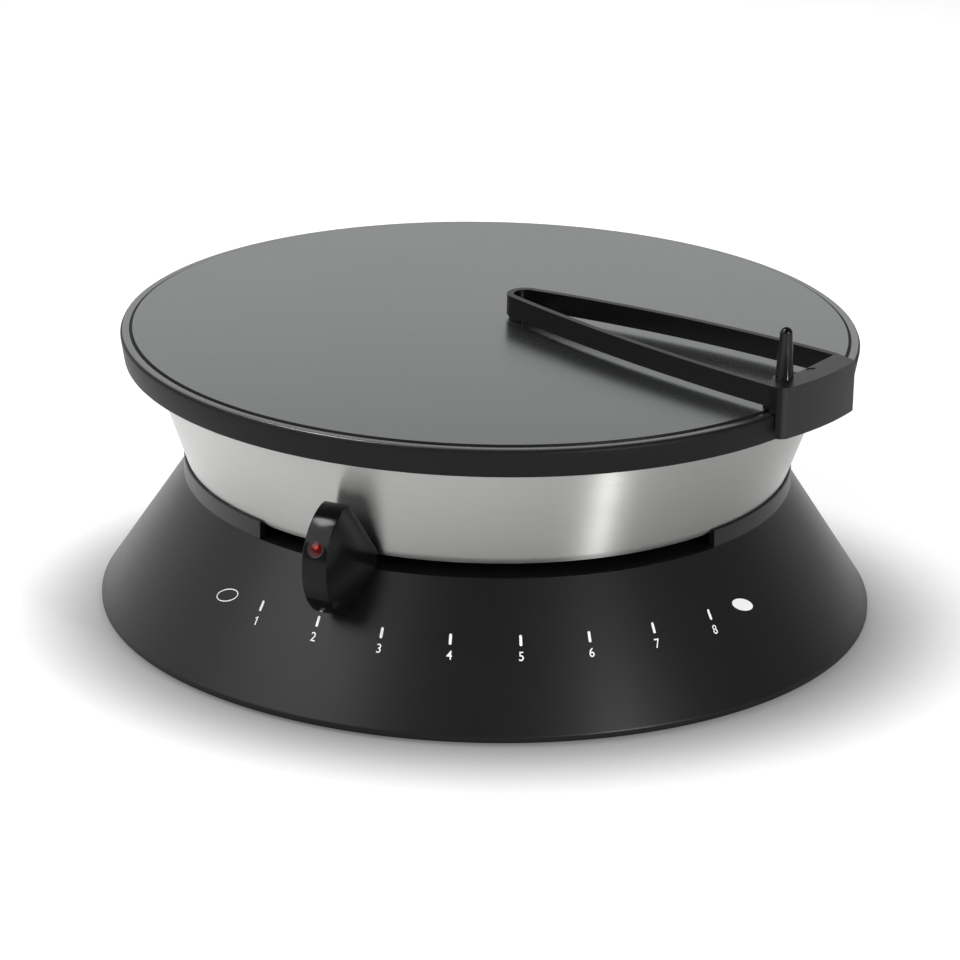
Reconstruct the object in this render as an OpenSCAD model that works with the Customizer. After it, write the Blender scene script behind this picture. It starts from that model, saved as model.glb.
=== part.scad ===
// Electric crepe maker with a round cooking plate, a sliding thermostat lever and a
// batter spreader that hooks over the rim.
// Millimetres, +Z up, front is -Y, origin on the table under the middle of the plate.
// Azimuths are degrees from the front, positive towards +X.

/* [Cooking plate] */
// Radius of the plate over its rim
plate_r = 175; // [172:0.5:182]
// Thickness of the plate
plate_t = 7.5; // [6:0.5:10]
// Width of the low band outside the cooking disc
rim_band_w = 5.6; // [4:0.1:8]
// Height of the cooking disc above the band
disc_step = 0.7; // [0.3:0.1:1.5]
// Height of the skirt, from the band to its lower edge
skirt_h = 13.2; // [11:0.1:15]
// Wall of the skirt at its lower edge
skirt_wall = 5; // [3:0.5:6]
// Draft of the skirt, top to bottom
skirt_draft = 2.2; // [0:0.1:3]
// Rounding of the rim's top edge
rim_round = 1.2; // [0.5:0.1:2]

/* [Steel bowl] */
// Height of the bowl
bowl_h = 60; // [55:0.5:70]
// Radius where the bowl's wall line meets its floor
bowl_foot_r = 142.2; // [136:0.1:146]
// Radius of the bowl's wall at the rim
bowl_mouth_r = 163.2; // [160:0.1:164]
// Rounding between floor and wall
bowl_round = 8; // [7:0.5:9]
// Sheet thickness
bowl_t = 1; // [0.8:0.1:1.5]
// Width of the turned-out rim
bowl_flange_w = 2; // [1:0.5:3]
// Radius of the round bumps pressed in the wall
bump_r = 7; // [5:0.5:8]
// Height of the round bumps
bump_h = 1; // [0.6:0.1:1.5]
// Depth of the bumps' centres below the plate's skirt
bump_drop = 1.5; // [0:0.5:4]
// Azimuth of the front pair of bumps, each side
bump_az = 52; // [48:1:60]

/* [Base] */
// Radius of the base at the table
base_r = 184.85; // [183:0.05:195]
// Height from the base's lower edge to its crease
base_h = 62.8; // [56:0.1:70]
// Upright lip at the lower edge
base_lip = 4.4; // [3:0.1:6]
// Wall of the base
base_wall = 3; // [2.5:0.1:3.5]
// Height of the collar that holds the bowl
collar_h = 8.2; // [7.6:0.1:9]
// Wall of the collar at its top
collar_lip = 1.2; // [0.8:0.1:2]
// Step from the collar to the cone
crease_step = 0.8; // [0.4:0.1:2]
// Thickness of the deck inside the base
deck_t = 3; // [2.5:0.1:4]
// Drop of the deck below the crease
deck_drop = 1; // [0.5:0.1:1.5]
// Half of the angle that the lever's slot covers
slot_half_az = 45.5; // [44:0.5:47]
// Height of the lever's space, from the deck to the bowl
lever_space = 5.2; // [5:0.1:6]
// Thickness of the bottom cover
cover_t = 1.5; // [1:0.1:2]
// Recess of the bottom cover in the base
cover_recess = 1.5; // [1:0.1:2.5]
// Gap from the table to the base
foot_gap = 2; // [1.9:0.1:4]
// Radius of a foot
foot_r = 9; // [7:0.5:12]
// Distance from the base's edge in to the middle of a foot
foot_inset = 26.85; // [24:0.05:35]
// Radius of a foot's stem
foot_stem_r = 3; // [2.5:0.1:4]

/* [Thermostat lever] */
// Azimuth of the lever as it stands
lever_az = -24.6; // [-40:0.1:40]
// Width of the lever arm
arm_w = 10; // [8:0.5:12]
// Thickness of the lever arm
arm_t = 2.5; // [2:0.1:2.8]
// Radius of the lever's hub
hub_r = 11; // [9:0.5:12]
// Radius of the thermostat's shaft
shaft_r = 3; // [2.5:0.1:4]
// Width of the knob's front band
knob_w = 12; // [10:0.5:14]
// Width of the knob at its back
knob_back_w = 26; // [20:0.5:28]
// Height of the knob's upper curve, from its foremost point to its top
knob_rise = 24.5; // [22:0.5:24.5]
// Height of the knob's lower curve, from its foremost point to its bottom
knob_fall = 28; // [25:0.1:28.5]
// Depth of the knob from its back edge to its front
knob_depth = 37; // [35:0.5:40]
// Radius of the knob's upper front curve
knob_top_curve_r = 25.2; // [25:0.1:28]
// Radius of the knob's lower front curve
knob_low_curve_r = 29.2; // [29:0.1:32]
// Height of the knob's back edge
knob_back_h = 8.5; // [5:0.5:9]
// Radius of the pilot lens
lens_r = 3.8; // [2.5:0.1:4]
// Upward tilt of the pilot lens
lens_tilt = 22; // [10:1:35]

/* [Spreader] */
// Azimuth of the spreader's end block as it lies
spreader_az = 55.3; // [0:0.1:360]
// Height of the spreader's top above the cooking disc
spreader_top = 12.3; // [11:0.1:15]
// Gap under the spreader's walls
blade_gap = 2.4; // [1.5:0.1:3]
// Wall of the spreader
blade_wall = 3.2; // [2.6:0.1:5]
// Radius of the spreader's round tip
tip_r = 9.3; // [8:0.1:11]
// Width of the end block
block_w = 59; // [54:0.5:64]
// Depth of the end block at its top
block_depth = 12.6; // [11:0.1:14]
// Taper of the end block's back side towards its outer face
block_taper = 4; // [0:0.5:6]
// Drop of the hook below the rim band
hook_drop = 11; // [8:0.1:13]
// Outward bow of the front wall
blade_bow = 4.1; // [1:0.1:5]
// Outward bow of the back wall
back_bow = 5.6; // [1:0.1:6]
// Height of the peg
peg_h = 24; // [20:0.5:32]
// Radius of the peg at its foot
peg_r = 4.1; // [3.5:0.1:4.5]
// Radius of the peg under its dome
peg_tip_r = 2.85; // [2:0.05:3.4]

/* [Heater and inner parts] */
// Radius of the heating element's tube
element_r = 4; // [3:0.1:4.5]
// Radius of the element's outer loop
loop_out_r = 120; // [118:1:124]
// Radius of the element's inner loop
loop_in_r = 78; // [72:1:80]
// Thickness of the clamp plate
clamp_t = 1.5; // [1:0.1:2]
// Thickness of the insulation
insulation_t = 12; // [8:0.5:16]
// Outer radius of the insulation
insulation_r = 134; // [130:1:138]
// Radius of the opening in the middle of the heater parts
heater_eye_r = 50; // [44:1:54]
// Radius of the stud circle
stud_circle_r = 99; // [98:0.5:100]
// Radius of a stud
stud_r = 3; // [2.5:0.1:3.5]
// Radius of the thermostat's body
thermostat_r = 20; // [17:0.5:23]
// Height of the thermostat's body
thermostat_h = 22; // [18:0.5:26]
// Radius of the cord's hole in the gland
cord_r = 3.6; // [3:0.1:4.5]
// Radius of the gland's neck
gland_neck_r = 6; // [5.2:0.1:7]
// Radius of the screws
screw_r = 1.9; // [1.5:0.1:2.2]

/* [Hidden] */
$fn = 96;
// Clearances
seat_gap = 0.3;
run_gap = 0.05;
hole_gap = 0.1;
collar_gap = 0.35;
through = 1;

// Levels, from the table up
base_z = foot_gap;
cover_z = base_z + cover_recess;
floor_z = cover_z + cover_t;
crease_z = base_z + base_h;
collar_z = crease_z + collar_h;
deck_z = crease_z - deck_drop;
deck_low_z = deck_z - deck_t;
bowl_z = deck_z + lever_space;
bowl_in_z = bowl_z + bowl_t;
rim_z = bowl_z + bowl_h;
disc_z = rim_z + plate_t;
band_z = disc_z - disc_step;
skirt_z = band_z - skirt_h;
element_z = rim_z - seat_gap - element_r;
clamp_z = element_z - element_r - seat_gap - clamp_t;
clamp_top_z = clamp_z + clamp_t;
insulation_z = clamp_z - seat_gap - insulation_t;
shield_t = 1;
shield_z = insulation_z - seat_gap - shield_t;
nut_h = 5;

// Bowl outline
bowl_slope = (bowl_mouth_r - bowl_foot_r) / bowl_h;
bowl_lean = atan(bowl_slope);
bowl_arc_x = bowl_foot_r + bowl_round * bowl_slope - bowl_round / cos(bowl_lean);
bowl_arc_z = bowl_z + bowl_round;
function bowl_r(z) =
    z > bowl_arc_z - bowl_round * sin(bowl_lean)
    ? bowl_foot_r + (z - bowl_z) * bowl_slope
    : bowl_arc_x + sqrt(pow(bowl_round, 2) - pow(bowl_arc_z - z, 2));

// Base outline
collar_in_r = bowl_arc_x + sqrt(pow(bowl_round + collar_gap, 2) - pow(bowl_arc_z - collar_z, 2));
collar_r = collar_in_r + collar_lip;
crease_r = collar_r + crease_step;
cone_z = base_z + base_lip;
cone_slope = (base_r - crease_r) / (crease_z - cone_z);
cone_lean = atan(cone_slope);
lip_round = 4;
collar_low_az = -50;
function cone_r(z) = crease_r + (crease_z - z) * cone_slope;
// Horizontal thickness of the cone's sloping wall
cone_wall = base_wall / cos(cone_lean);

// Studs, feet and cover screws
stud_azs = [60, 180, 300];
foot_azs = [45, 135, 225, 315];
foot_circle_r = base_r - foot_inset;
foot_barb = 1.2;
foot_barb_h = 2.5;
cover_screw_azs = [30, 90, 150, 210, 270, 330];
cover_r = base_r - base_wall - seat_gap;
cover_screw_r = cover_r - 13.5;
screw_boss_r = 5;
cover_screw_len = 10;
stud_boss_r = 9;
stud_base_r = 8;
nut_r = stud_r * 1.93;
support_rib_r = 130;
support_rib_w = 3;

// Lever
arm_z = deck_z + 1.3;
bush_flange_t = arm_z - seat_gap - deck_z;
bush_wall = 3;
bush_r = hub_r + run_gap + bush_wall;
bush_flange_r = bush_r + 4;
hub_top_z = bowl_z - 0.4;
hub_low_z = deck_low_z - 3.2;
groove_depth = 0.8;
clip_t = 1.2;
shaft_top_z = bowl_in_z + thermostat_h * 0.6;
knob_gap = 2.4;
knob_back_r = collar_r + 1.2;
knob_back_z = arm_z + 0.9;
knob_nose_z = knob_back_z + 9;
knob_top_z = knob_nose_z + knob_rise;
knob_low_z = knob_nose_z - knob_fall;
knob_front_r = knob_back_r + knob_depth;
knob_tip_w = 4;
arm_end_r = knob_front_r - 15;
arm_screw_r = knob_back_r + 12;
lens_z = knob_nose_z + knob_top_curve_r * sin(lens_tilt);
lens_x = knob_front_r - knob_top_curve_r * (1 - cos(lens_tilt));
lens_depth = 4;
lens_proud = 0.8;
lamp_r = 2.8;
lamp_len = 11;

// Spreader, in its own plan: x outwards along the block's azimuth, y towards the back
spreader_z = disc_z + spreader_top;
blade_z = disc_z + blade_gap;
block_out_x = plate_r + 7.6;
block_in_x = block_out_x - block_depth;
tip_x = 7.9;
tip_y = 18.3;
back_y = 31.8;
front_y = back_y - block_w;
block_round = 5;
block_face_r = 150;
block_face_y = 13;
peg_x = block_in_x - 0.9;
peg_y = front_y + 13.6;
peg_boss_r = peg_r + 1.2;
spigot_r = 2.5;
spigot_h = 6;
hook_r = plate_r + 0.6;

// Small parts
earth_x = 36;
earth_y = 46;
bulb_r = element_r;
bulb_len = 70;
bar_y = 20;
bar_w = 14;
cutout_r = 8;
cutout_h = 8;
element_end_az = 160;
element_bend_az = 212;
element_bend_r = 8;
element_end_z = shield_z - 7;
seal_len = 6;
pin_len = 8;
pin_r = 1.2;
bracket_foot = 14;
strap_t = 1.2;
bracket_screw_x = thermostat_r + 8;
lead_r = 1.1;
thin_lead_r = 0.5;
grommet_y = 62;
grommet_r = 6;
grommet_wall = 1.5;
block_inset = 56.85;
block_y = base_r - block_inset;
block_len = 46;
block_wide = 18;
block_high = 17;
tube_r = 2.9;
tube_gap = 14;
gland_z = base_z + 20;
gland_proud = 3.4;
gland_head = 5.5;
gland_head_r = gland_neck_r + 2;
gland_boss_r = gland_neck_r + 4;
gland_nut_r = gland_neck_r + 3.5;
gland_nut_h = 5;
gland_thread = 6;
gland_boss_end = 3;
gland_face_y = cone_r(gland_z) + gland_proud;
// The boss ends inside where the nut clears the cone's wall
gland_in_y = cone_r(gland_z + gland_nut_r * cos(30)) - cone_wall - seat_gap - gland_boss_end;

// Places things by azimuth: x of the child points outwards
module at_az(a) {
    rotate([0, 0, a - 90]) children();
}

// Point in plan at radius r and azimuth a
function pol(r, a) = [r * sin(a), -r * cos(a)];

// Points of an arc round [cx, cy], from angle a to b in n steps
function arc(cx, cy, r, a, b, n) =
    [for (i = [0 : n]) let (t = a + (b - a) * i / n) [cx + r * cos(t), cy + r * sin(t)]];

// Points of the arc from p to q that bows by sag to the right of the way from p to q
function bow(p, q, sag, n) =
    let (
        d = norm(q - p),
        r = (d * d / 4 + sag * sag) / (2 * sag),
        u = (q - p) / d,
        w = [u[1], -u[0]],
        c = (p + q) / 2 - w * (r - sag),
        h = asin(d / 2 / r)
    )
    [for (i = [0 : n]) let (t = h * (2 * i / n - 1)) c + u * r * sin(t) + w * r * cos(t)];

// Round tube of radius r along a list of points
module tube(points, r, sides = 8) {
    n = len(points);
    function unit(v) = v / norm(v);
    function way(i) = unit(points[min(i + 1, n - 1)] - points[max(i - 1, 0)]);
    function side(v) = unit(cross(v, abs(v[2]) < 0.9 ? [0, 0, 1] : [1, 0, 0]));
    function carry(s, v) = unit(s - v * (s * v));
    function sides_at(i) = i == 0 ? side(way(0)) : carry(sides_at(i - 1), way(i));
    rings = [for (i = [0 : n - 1]) let (v = way(i), s = sides_at(i), c = cross(v, s))
        for (k = [0 : sides - 1]) let (t = 360 * k / sides)
            points[i] + s * r * cos(t) + c * r * sin(t)];
    walls = [for (i = [0 : n - 2], k = [0 : sides - 1])
        let (a = i * sides + k, b = i * sides + (k + 1) % sides)
            [[a, b, b + sides], [a, b + sides, a + sides]]];
    faces = concat(
        [[for (k = [0 : sides - 1]) sides - 1 - k]],
        [for (w = walls, f = w) f],
        [[for (k = [0 : sides - 1]) (n - 1) * sides + k]]
    );
    polyhedron([for (p = rings) p], [for (f = faces) [for (k = [len(f) - 1 : -1 : 0]) f[k]]]);
}

// Hexagonal nut of height h, from z up, with its hole
module nut(z, h) {
    translate([0, 0, z]) difference() {
        cylinder(r = nut_r, h = h, $fn = 6);
        translate([0, 0, -through]) cylinder(r = stud_r + hole_gap, h = h + 2 * through);
    }
}

// Pan-head screw along +Z: the head is under z, the shank goes up by len
module screw(z, len, r = screw_r, head_h = 1.8) {
    translate([0, 0, z - head_h]) cylinder(r = 2 * r, h = head_h);
    translate([0, 0, z]) cylinder(r = r, h = len);
}

// Holes for the studs, with r_hole, from z0 to z1
module stud_holes(r_hole, z0, z1) {
    for (a = stud_azs)
        at_az(a) translate([stud_circle_r, 0, z0]) cylinder(r = r_hole, h = z1 - z0);
}

// Slots that the element's two ends go down through
module element_end_holes(z0, z1) {
    for (r = [loop_out_r, loop_in_r])
        at_az(element_end_az)
            translate([r - element_r - 0.6, -1.5, z0])
                cube([2 * element_r + 1.2, element_bend_r + element_r + 2.1, z1 - z0]);
}

module griddle_plate() {
    edge_in = skirt_draft * rim_round / skirt_h;
    outline = concat(
        [[0, rim_z], [0, disc_z], [plate_r - rim_band_w - disc_step / 2, disc_z],
         [plate_r - rim_band_w + disc_step / 2, band_z]],
        arc(plate_r - rim_round, band_z - rim_round, rim_round, 90, 0, 5),
        [[plate_r - skirt_draft + edge_in, skirt_z + 0.5],
         [plate_r - skirt_draft - 0.5, skirt_z],
         [plate_r - skirt_draft - skirt_wall, skirt_z],
         [plate_r - skirt_draft - skirt_wall, rim_z]]
    );
    color("#5c5d5c") difference() {
        union() {
            rotate_extrude($fn = 180) polygon(outline);
            for (a = stud_azs)
                at_az(a) translate([stud_circle_r, 0, clamp_top_z])
                    cylinder(r = stud_boss_r, h = rim_z + through - clamp_top_z);
        }
        stud_holes(stud_r + hole_gap, clamp_top_z - through, rim_z + plate_t * 0.3);
    }
}

module heating_element() {
    mid_r = (loop_out_r + loop_in_r) / 2;
    sweep = 360 + element_end_az - element_bend_az;
    color("#4a4643") translate([0, 0, element_z]) {
        for (r = [loop_out_r, loop_in_r])
            at_az(element_bend_az) rotate_extrude(angle = sweep)
                translate([r, 0]) circle(element_r, $fn = 32);
        at_az(element_bend_az) translate([mid_r, 0, 0]) rotate([0, 0, 180])
            rotate_extrude(angle = 180)
                translate([(loop_out_r - loop_in_r) / 2, 0]) circle(element_r, $fn = 32);
        for (r = [loop_out_r, loop_in_r]) at_az(element_end_az) translate([r, 0, -element_bend_r]) {
            rotate([0, 90, 0]) rotate([0, 0, 90]) rotate_extrude(angle = 90)
                translate([element_bend_r, 0]) circle(element_r, $fn = 32);
            translate([0, element_bend_r, element_end_z + element_bend_r - element_z])
                cylinder(r = element_r, h = element_z - element_bend_r - element_end_z, $fn = 32);
        }
    }
}

module element_seals() {
    color("#d8d3c6") for (r = [loop_out_r, loop_in_r])
        at_az(element_end_az) translate([r, element_bend_r, element_end_z - seal_len]) {
            cylinder(r = element_r, h = seal_len);
            translate([0, 0, -pin_len]) cylinder(r = pin_r, h = pin_len);
        }
}

module clamp_plate() {
    color("#8d9094") difference() {
        translate([0, 0, clamp_z]) linear_extrude(clamp_t) union() {
            difference() {
                circle(insulation_r);
                circle(heater_eye_r);
            }
            for (s = [-1, 1]) intersection() {
                circle(heater_eye_r + 2);
                translate([-heater_eye_r - 2, s * bar_y - bar_w / 2])
                    square([2 * heater_eye_r + 4, bar_w]);
            }
        }
        stud_holes(stud_r + hole_gap, clamp_z - through, clamp_top_z + through);
        element_end_holes(clamp_z - through, clamp_top_z + through);
    }
}

module clamp_nuts() {
    color("#a8abad") for (a = stud_azs) at_az(a) translate([stud_circle_r, 0, 0])
        nut(clamp_z - nut_h, nut_h);
}

module insulation_pad() {
    color("#e6e1cf") difference() {
        translate([0, 0, insulation_z]) difference() {
            cylinder(r = insulation_r, h = insulation_t);
            translate([0, 0, -through])
                cylinder(r = heater_eye_r, h = insulation_t + 2 * through);
        }
        stud_holes(nut_r + 1, insulation_z - through, clamp_z);
        element_end_holes(insulation_z - through, clamp_z);
    }
}

module heat_shield() {
    wall_r = insulation_r + seat_gap;
    color("#b9bcbd") difference() {
        rotate_extrude() polygon([
            [heater_eye_r, shield_z], [wall_r + shield_t, shield_z],
            [wall_r + shield_t, clamp_z - 2], [wall_r, clamp_z - 2],
            [wall_r, shield_z + shield_t], [heater_eye_r, shield_z + shield_t]
        ]);
        stud_holes(stud_r + hole_gap, shield_z - through, shield_z + 2 * through);
        element_end_holes(shield_z - through, shield_z + 2 * through);
    }
}

module shield_nuts() {
    color("#a8abad") for (a = stud_azs) at_az(a) translate([stud_circle_r, 0, 0])
        nut(shield_z - nut_h, nut_h);
}

module plate_studs() {
    low_z = deck_low_z - nut_h - 2;
    top_z = rim_z + plate_t * 0.3 - seat_gap;
    color("#9da0a2") for (a = stud_azs) at_az(a) translate([stud_circle_r, 0, low_z])
        cylinder(r = stud_r, h = top_z - low_z);
}

module stud_nuts() {
    color("#a8abad") for (a = stud_azs) at_az(a) translate([stud_circle_r, 0, 0])
        nut(deck_low_z - nut_h, nut_h);
}

// One round bump, pressed out of the bowl's wall at azimuth a
module wall_bump(a) {
    z = skirt_z - bump_drop;
    ball_r = (bump_r * bump_r + bump_h * bump_h) / (2 * bump_h);
    at_az(a) translate([bowl_r(z), 0, z]) rotate([0, bowl_lean, 0])
        translate([bump_h - ball_r, 0, 0]) intersection() {
            sphere(ball_r);
            translate([ball_r - bump_h - bowl_t / 2, -bump_r - through, -bump_r - through])
                cube([2 * bump_h + bowl_t, 2 * bump_r + 2 * through, 2 * bump_r + 2 * through]);
        }
}

module bowl_shell() {
    out_arc = arc(bowl_arc_x, bowl_arc_z, bowl_round, -90, -bowl_lean, 8);
    in_arc = arc(bowl_arc_x, bowl_arc_z, bowl_round - bowl_t, -bowl_lean, -90, 8);
    wall_in = bowl_t / cos(bowl_lean);
    outline = concat(
        [[0, bowl_z]], out_arc,
        [[bowl_r(rim_z - bowl_t), rim_z - bowl_t],
         [bowl_mouth_r + bowl_flange_w, rim_z - bowl_t],
         [bowl_mouth_r + bowl_flange_w, rim_z],
         [bowl_mouth_r - wall_in, rim_z]],
        in_arc, [[0, bowl_in_z]]
    );
    color("#c2c3c4") difference() {
        union() {
            rotate_extrude($fn = 180) polygon(outline);
            for (a = [-bump_az, bump_az, 180 - bump_az, 180 + bump_az]) wall_bump(a);
        }
        translate([0, 0, bowl_z - through]) cylinder(r = shaft_r + 2, h = bowl_t + 2 * through);
        stud_holes(stud_r + hole_gap, bowl_z - through, bowl_in_z + through);
        translate([0, grommet_y, bowl_z - through])
            cylinder(r = grommet_r + hole_gap, h = bowl_t + 2 * through);
        for (s = [-1, 1])
            translate([s * bracket_screw_x, 0, bowl_z - through])
                cylinder(r = screw_r + hole_gap, h = bowl_t + 2 * through);
        translate([earth_x, earth_y, bowl_z - through])
            cylinder(r = screw_r + hole_gap, h = bowl_t + 2 * through);
    }
}

module thermostat_body() {
    color("#2f2c29") difference() {
        translate([0, 0, bowl_in_z]) cylinder(r = thermostat_r, h = thermostat_h);
        translate([0, 0, bowl_in_z - through])
            cylinder(r = shaft_r + run_gap, h = thermostat_h * 0.6 + seat_gap + through);
    }
    color("#c9a44f") for (s = [-1, 1])
        translate([s * 9 - 3.15, thermostat_r * 0.55, bowl_in_z + thermostat_h])
            cube([6.3, 0.8, 8]);
}

module thermostat_bracket() {
    leg_x = thermostat_r + seat_gap;
    foot_x = leg_x + bracket_foot;
    strap_w = 12;
    top = bowl_in_z + thermostat_h;
    color("#9a9da0") difference() {
        translate([0, strap_w / 2, 0]) rotate([90, 0, 0]) linear_extrude(strap_w) polygon([
            [-foot_x, bowl_in_z], [-leg_x, bowl_in_z], [-leg_x, top], [leg_x, top],
            [leg_x, bowl_in_z], [foot_x, bowl_in_z], [foot_x, bowl_in_z + strap_t],
            [leg_x + strap_t, bowl_in_z + strap_t], [leg_x + strap_t, top + strap_t],
            [-leg_x - strap_t, top + strap_t], [-leg_x - strap_t, bowl_in_z + strap_t],
            [-foot_x, bowl_in_z + strap_t]
        ]);
        for (s = [-1, 1])
            translate([s * bracket_screw_x, 0, bowl_in_z - through])
                cylinder(r = screw_r + hole_gap, h = strap_t + 2 * through);
    }
}

module bracket_screws() {
    color("#a8abad") for (s = [-1, 1])
        translate([s * bracket_screw_x, 0, bowl_in_z + strap_t]) mirror([0, 0, 1])
            screw(0, strap_t + bowl_t + 2);
}

module sensor_bulb() {
    out_y = bar_y + 14;
    low_z = bowl_in_z + thermostat_h * 0.8;
    capillary_r = 0.9;
    color("#b8784a") {
        translate([-bulb_len / 2, bar_y, element_z]) rotate([0, 90, 0])
            cylinder(r = bulb_r, h = bulb_len, $fn = 32);
        tube([
            [bulb_len / 2 - 0.5, bar_y, element_z], [bulb_len / 2 + 3, bar_y, element_z],
            [bulb_len / 2 + 4, bar_y + 3, element_z - 1],
            [bulb_len / 2 + 1, bar_y + 9, element_z - 3],
            [bulb_len / 2 - 4, out_y - 1, clamp_z - 2], [22, out_y, insulation_z],
            [14, out_y - 2, shield_z - 6], [8, out_y - 8, low_z + 6],
            [2, thermostat_r + 4, low_z + 1], [0, thermostat_r + 2, low_z],
            [0, thermostat_r + hole_gap, low_z]
        ], capillary_r);
    }
}

module thermal_cutout() {
    color("#3b3936") translate([0, -bar_y, clamp_z - cutout_h]) cylinder(r = cutout_r, h = cutout_h);
    color("#c9a44f") for (s = [-1, 1])
        translate([s * 4 - 2.4, -bar_y - 0.4, clamp_z - cutout_h - 7]) cube([4.8, 0.8, 7]);
}

module earth_tag() {
    tag_t = 1;
    color("#c9a44f") difference() {
        translate([0, 0, bowl_in_z]) linear_extrude(tag_t) union() {
            translate([earth_x, earth_y]) circle(5, $fn = 32);
            translate([earth_x - 3.15, earth_y]) square([6.3, 14]);
        }
        translate([earth_x, earth_y, bowl_in_z - through])
            cylinder(r = screw_r + hole_gap, h = tag_t + 2 * through);
    }
    color("#a8abad") translate([earth_x, earth_y, bowl_in_z + tag_t]) mirror([0, 0, 1])
        screw(0, tag_t + bowl_t + 2);
}

module lead_grommet() {
    bore = grommet_r - grommet_wall;
    color("#c96f3e") translate([0, grommet_y, 0]) rotate_extrude($fn = 48) polygon([
        [bore, deck_low_z - 1], [grommet_r, deck_low_z - 1], [grommet_r, bowl_in_z],
        [grommet_r + 2, bowl_in_z], [grommet_r + 2, bowl_in_z + 1.5], [bore, bowl_in_z + 1.5]
    ]);
}

// Leads from the block, up through the grommet and out to the parts in the bowl
module internal_leads() {
    tube_z = floor_z + 9;
    start_y = block_y - block_wide / 2 + 3;
    in_z = bowl_in_z + 8;
    out_end = pol(loop_out_r, element_end_az);
    in_end = pol(loop_in_r, element_end_az);
    pin_step = element_bend_r * [cos(element_end_az), sin(element_end_az)];
    pin_z = element_end_z - seal_len - pin_len - lead_r;
    function trunk(x) = [
        [x, start_y, tube_z], [x, start_y - 8, tube_z], [x * 0.7, start_y - 16, tube_z + 8],
        [x * 0.4, grommet_y + 14, deck_low_z - 24], [x * 0.22, grommet_y + 2, deck_low_z - 8],
        [x * 0.2, grommet_y, deck_low_z], [x * 0.2, grommet_y, bowl_in_z + 3]
    ];
    tab_z = bowl_in_z + thermostat_h + 8 + lead_r;
    color("#7a3a30") tube(concat(trunk(-tube_gap), [
        [-4, grommet_y - 4, in_z + 4], [-8, grommet_y - 22, tab_z - 8],
        [-9, thermostat_r * 0.55 + 12, tab_z + 3], [-9, thermostat_r * 0.55 + 3, tab_z + 2],
        [-9, thermostat_r * 0.55 + 0.4, tab_z - 0.8]
    ]), lead_r);
    color("#2f4d7a") tube(concat(trunk(0), [
        [1, grommet_y + 4, in_z + 2],
        [in_end[0] * 0.6 + pin_step[0], in_end[1] + pin_step[1] - 3, pin_z - 9],
        [in_end[0] + pin_step[0], in_end[1] + pin_step[1], pin_z - 3],
        [in_end[0] + pin_step[0], in_end[1] + pin_step[1], pin_z + lead_r]
    ]), lead_r);
    color("#5f7a3a") tube(concat(trunk(tube_gap), [
        [6, grommet_y + 2, in_z + 2], [20, grommet_y + 6, in_z],
        [earth_x - 4, earth_y + 16, bowl_in_z + 5], [earth_x, earth_y + 13.5, bowl_in_z + 2.2]
    ]), lead_r);
    color("#7a3a30") tube([
        [9, thermostat_r * 0.55 + 0.4, tab_z - 0.8], [9, thermostat_r * 0.55 + 3, tab_z + 2],
        [12, thermostat_r * 0.55 + 14, tab_z - 2], [26, 50, tab_z - 10],
        [out_end[0] * 0.9 + pin_step[0], out_end[1] + pin_step[1] - 14, pin_z - 12],
        [out_end[0] + pin_step[0], out_end[1] + pin_step[1], pin_z - 3],
        [out_end[0] + pin_step[0], out_end[1] + pin_step[1], pin_z + lead_r]
    ], lead_r);
}

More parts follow.
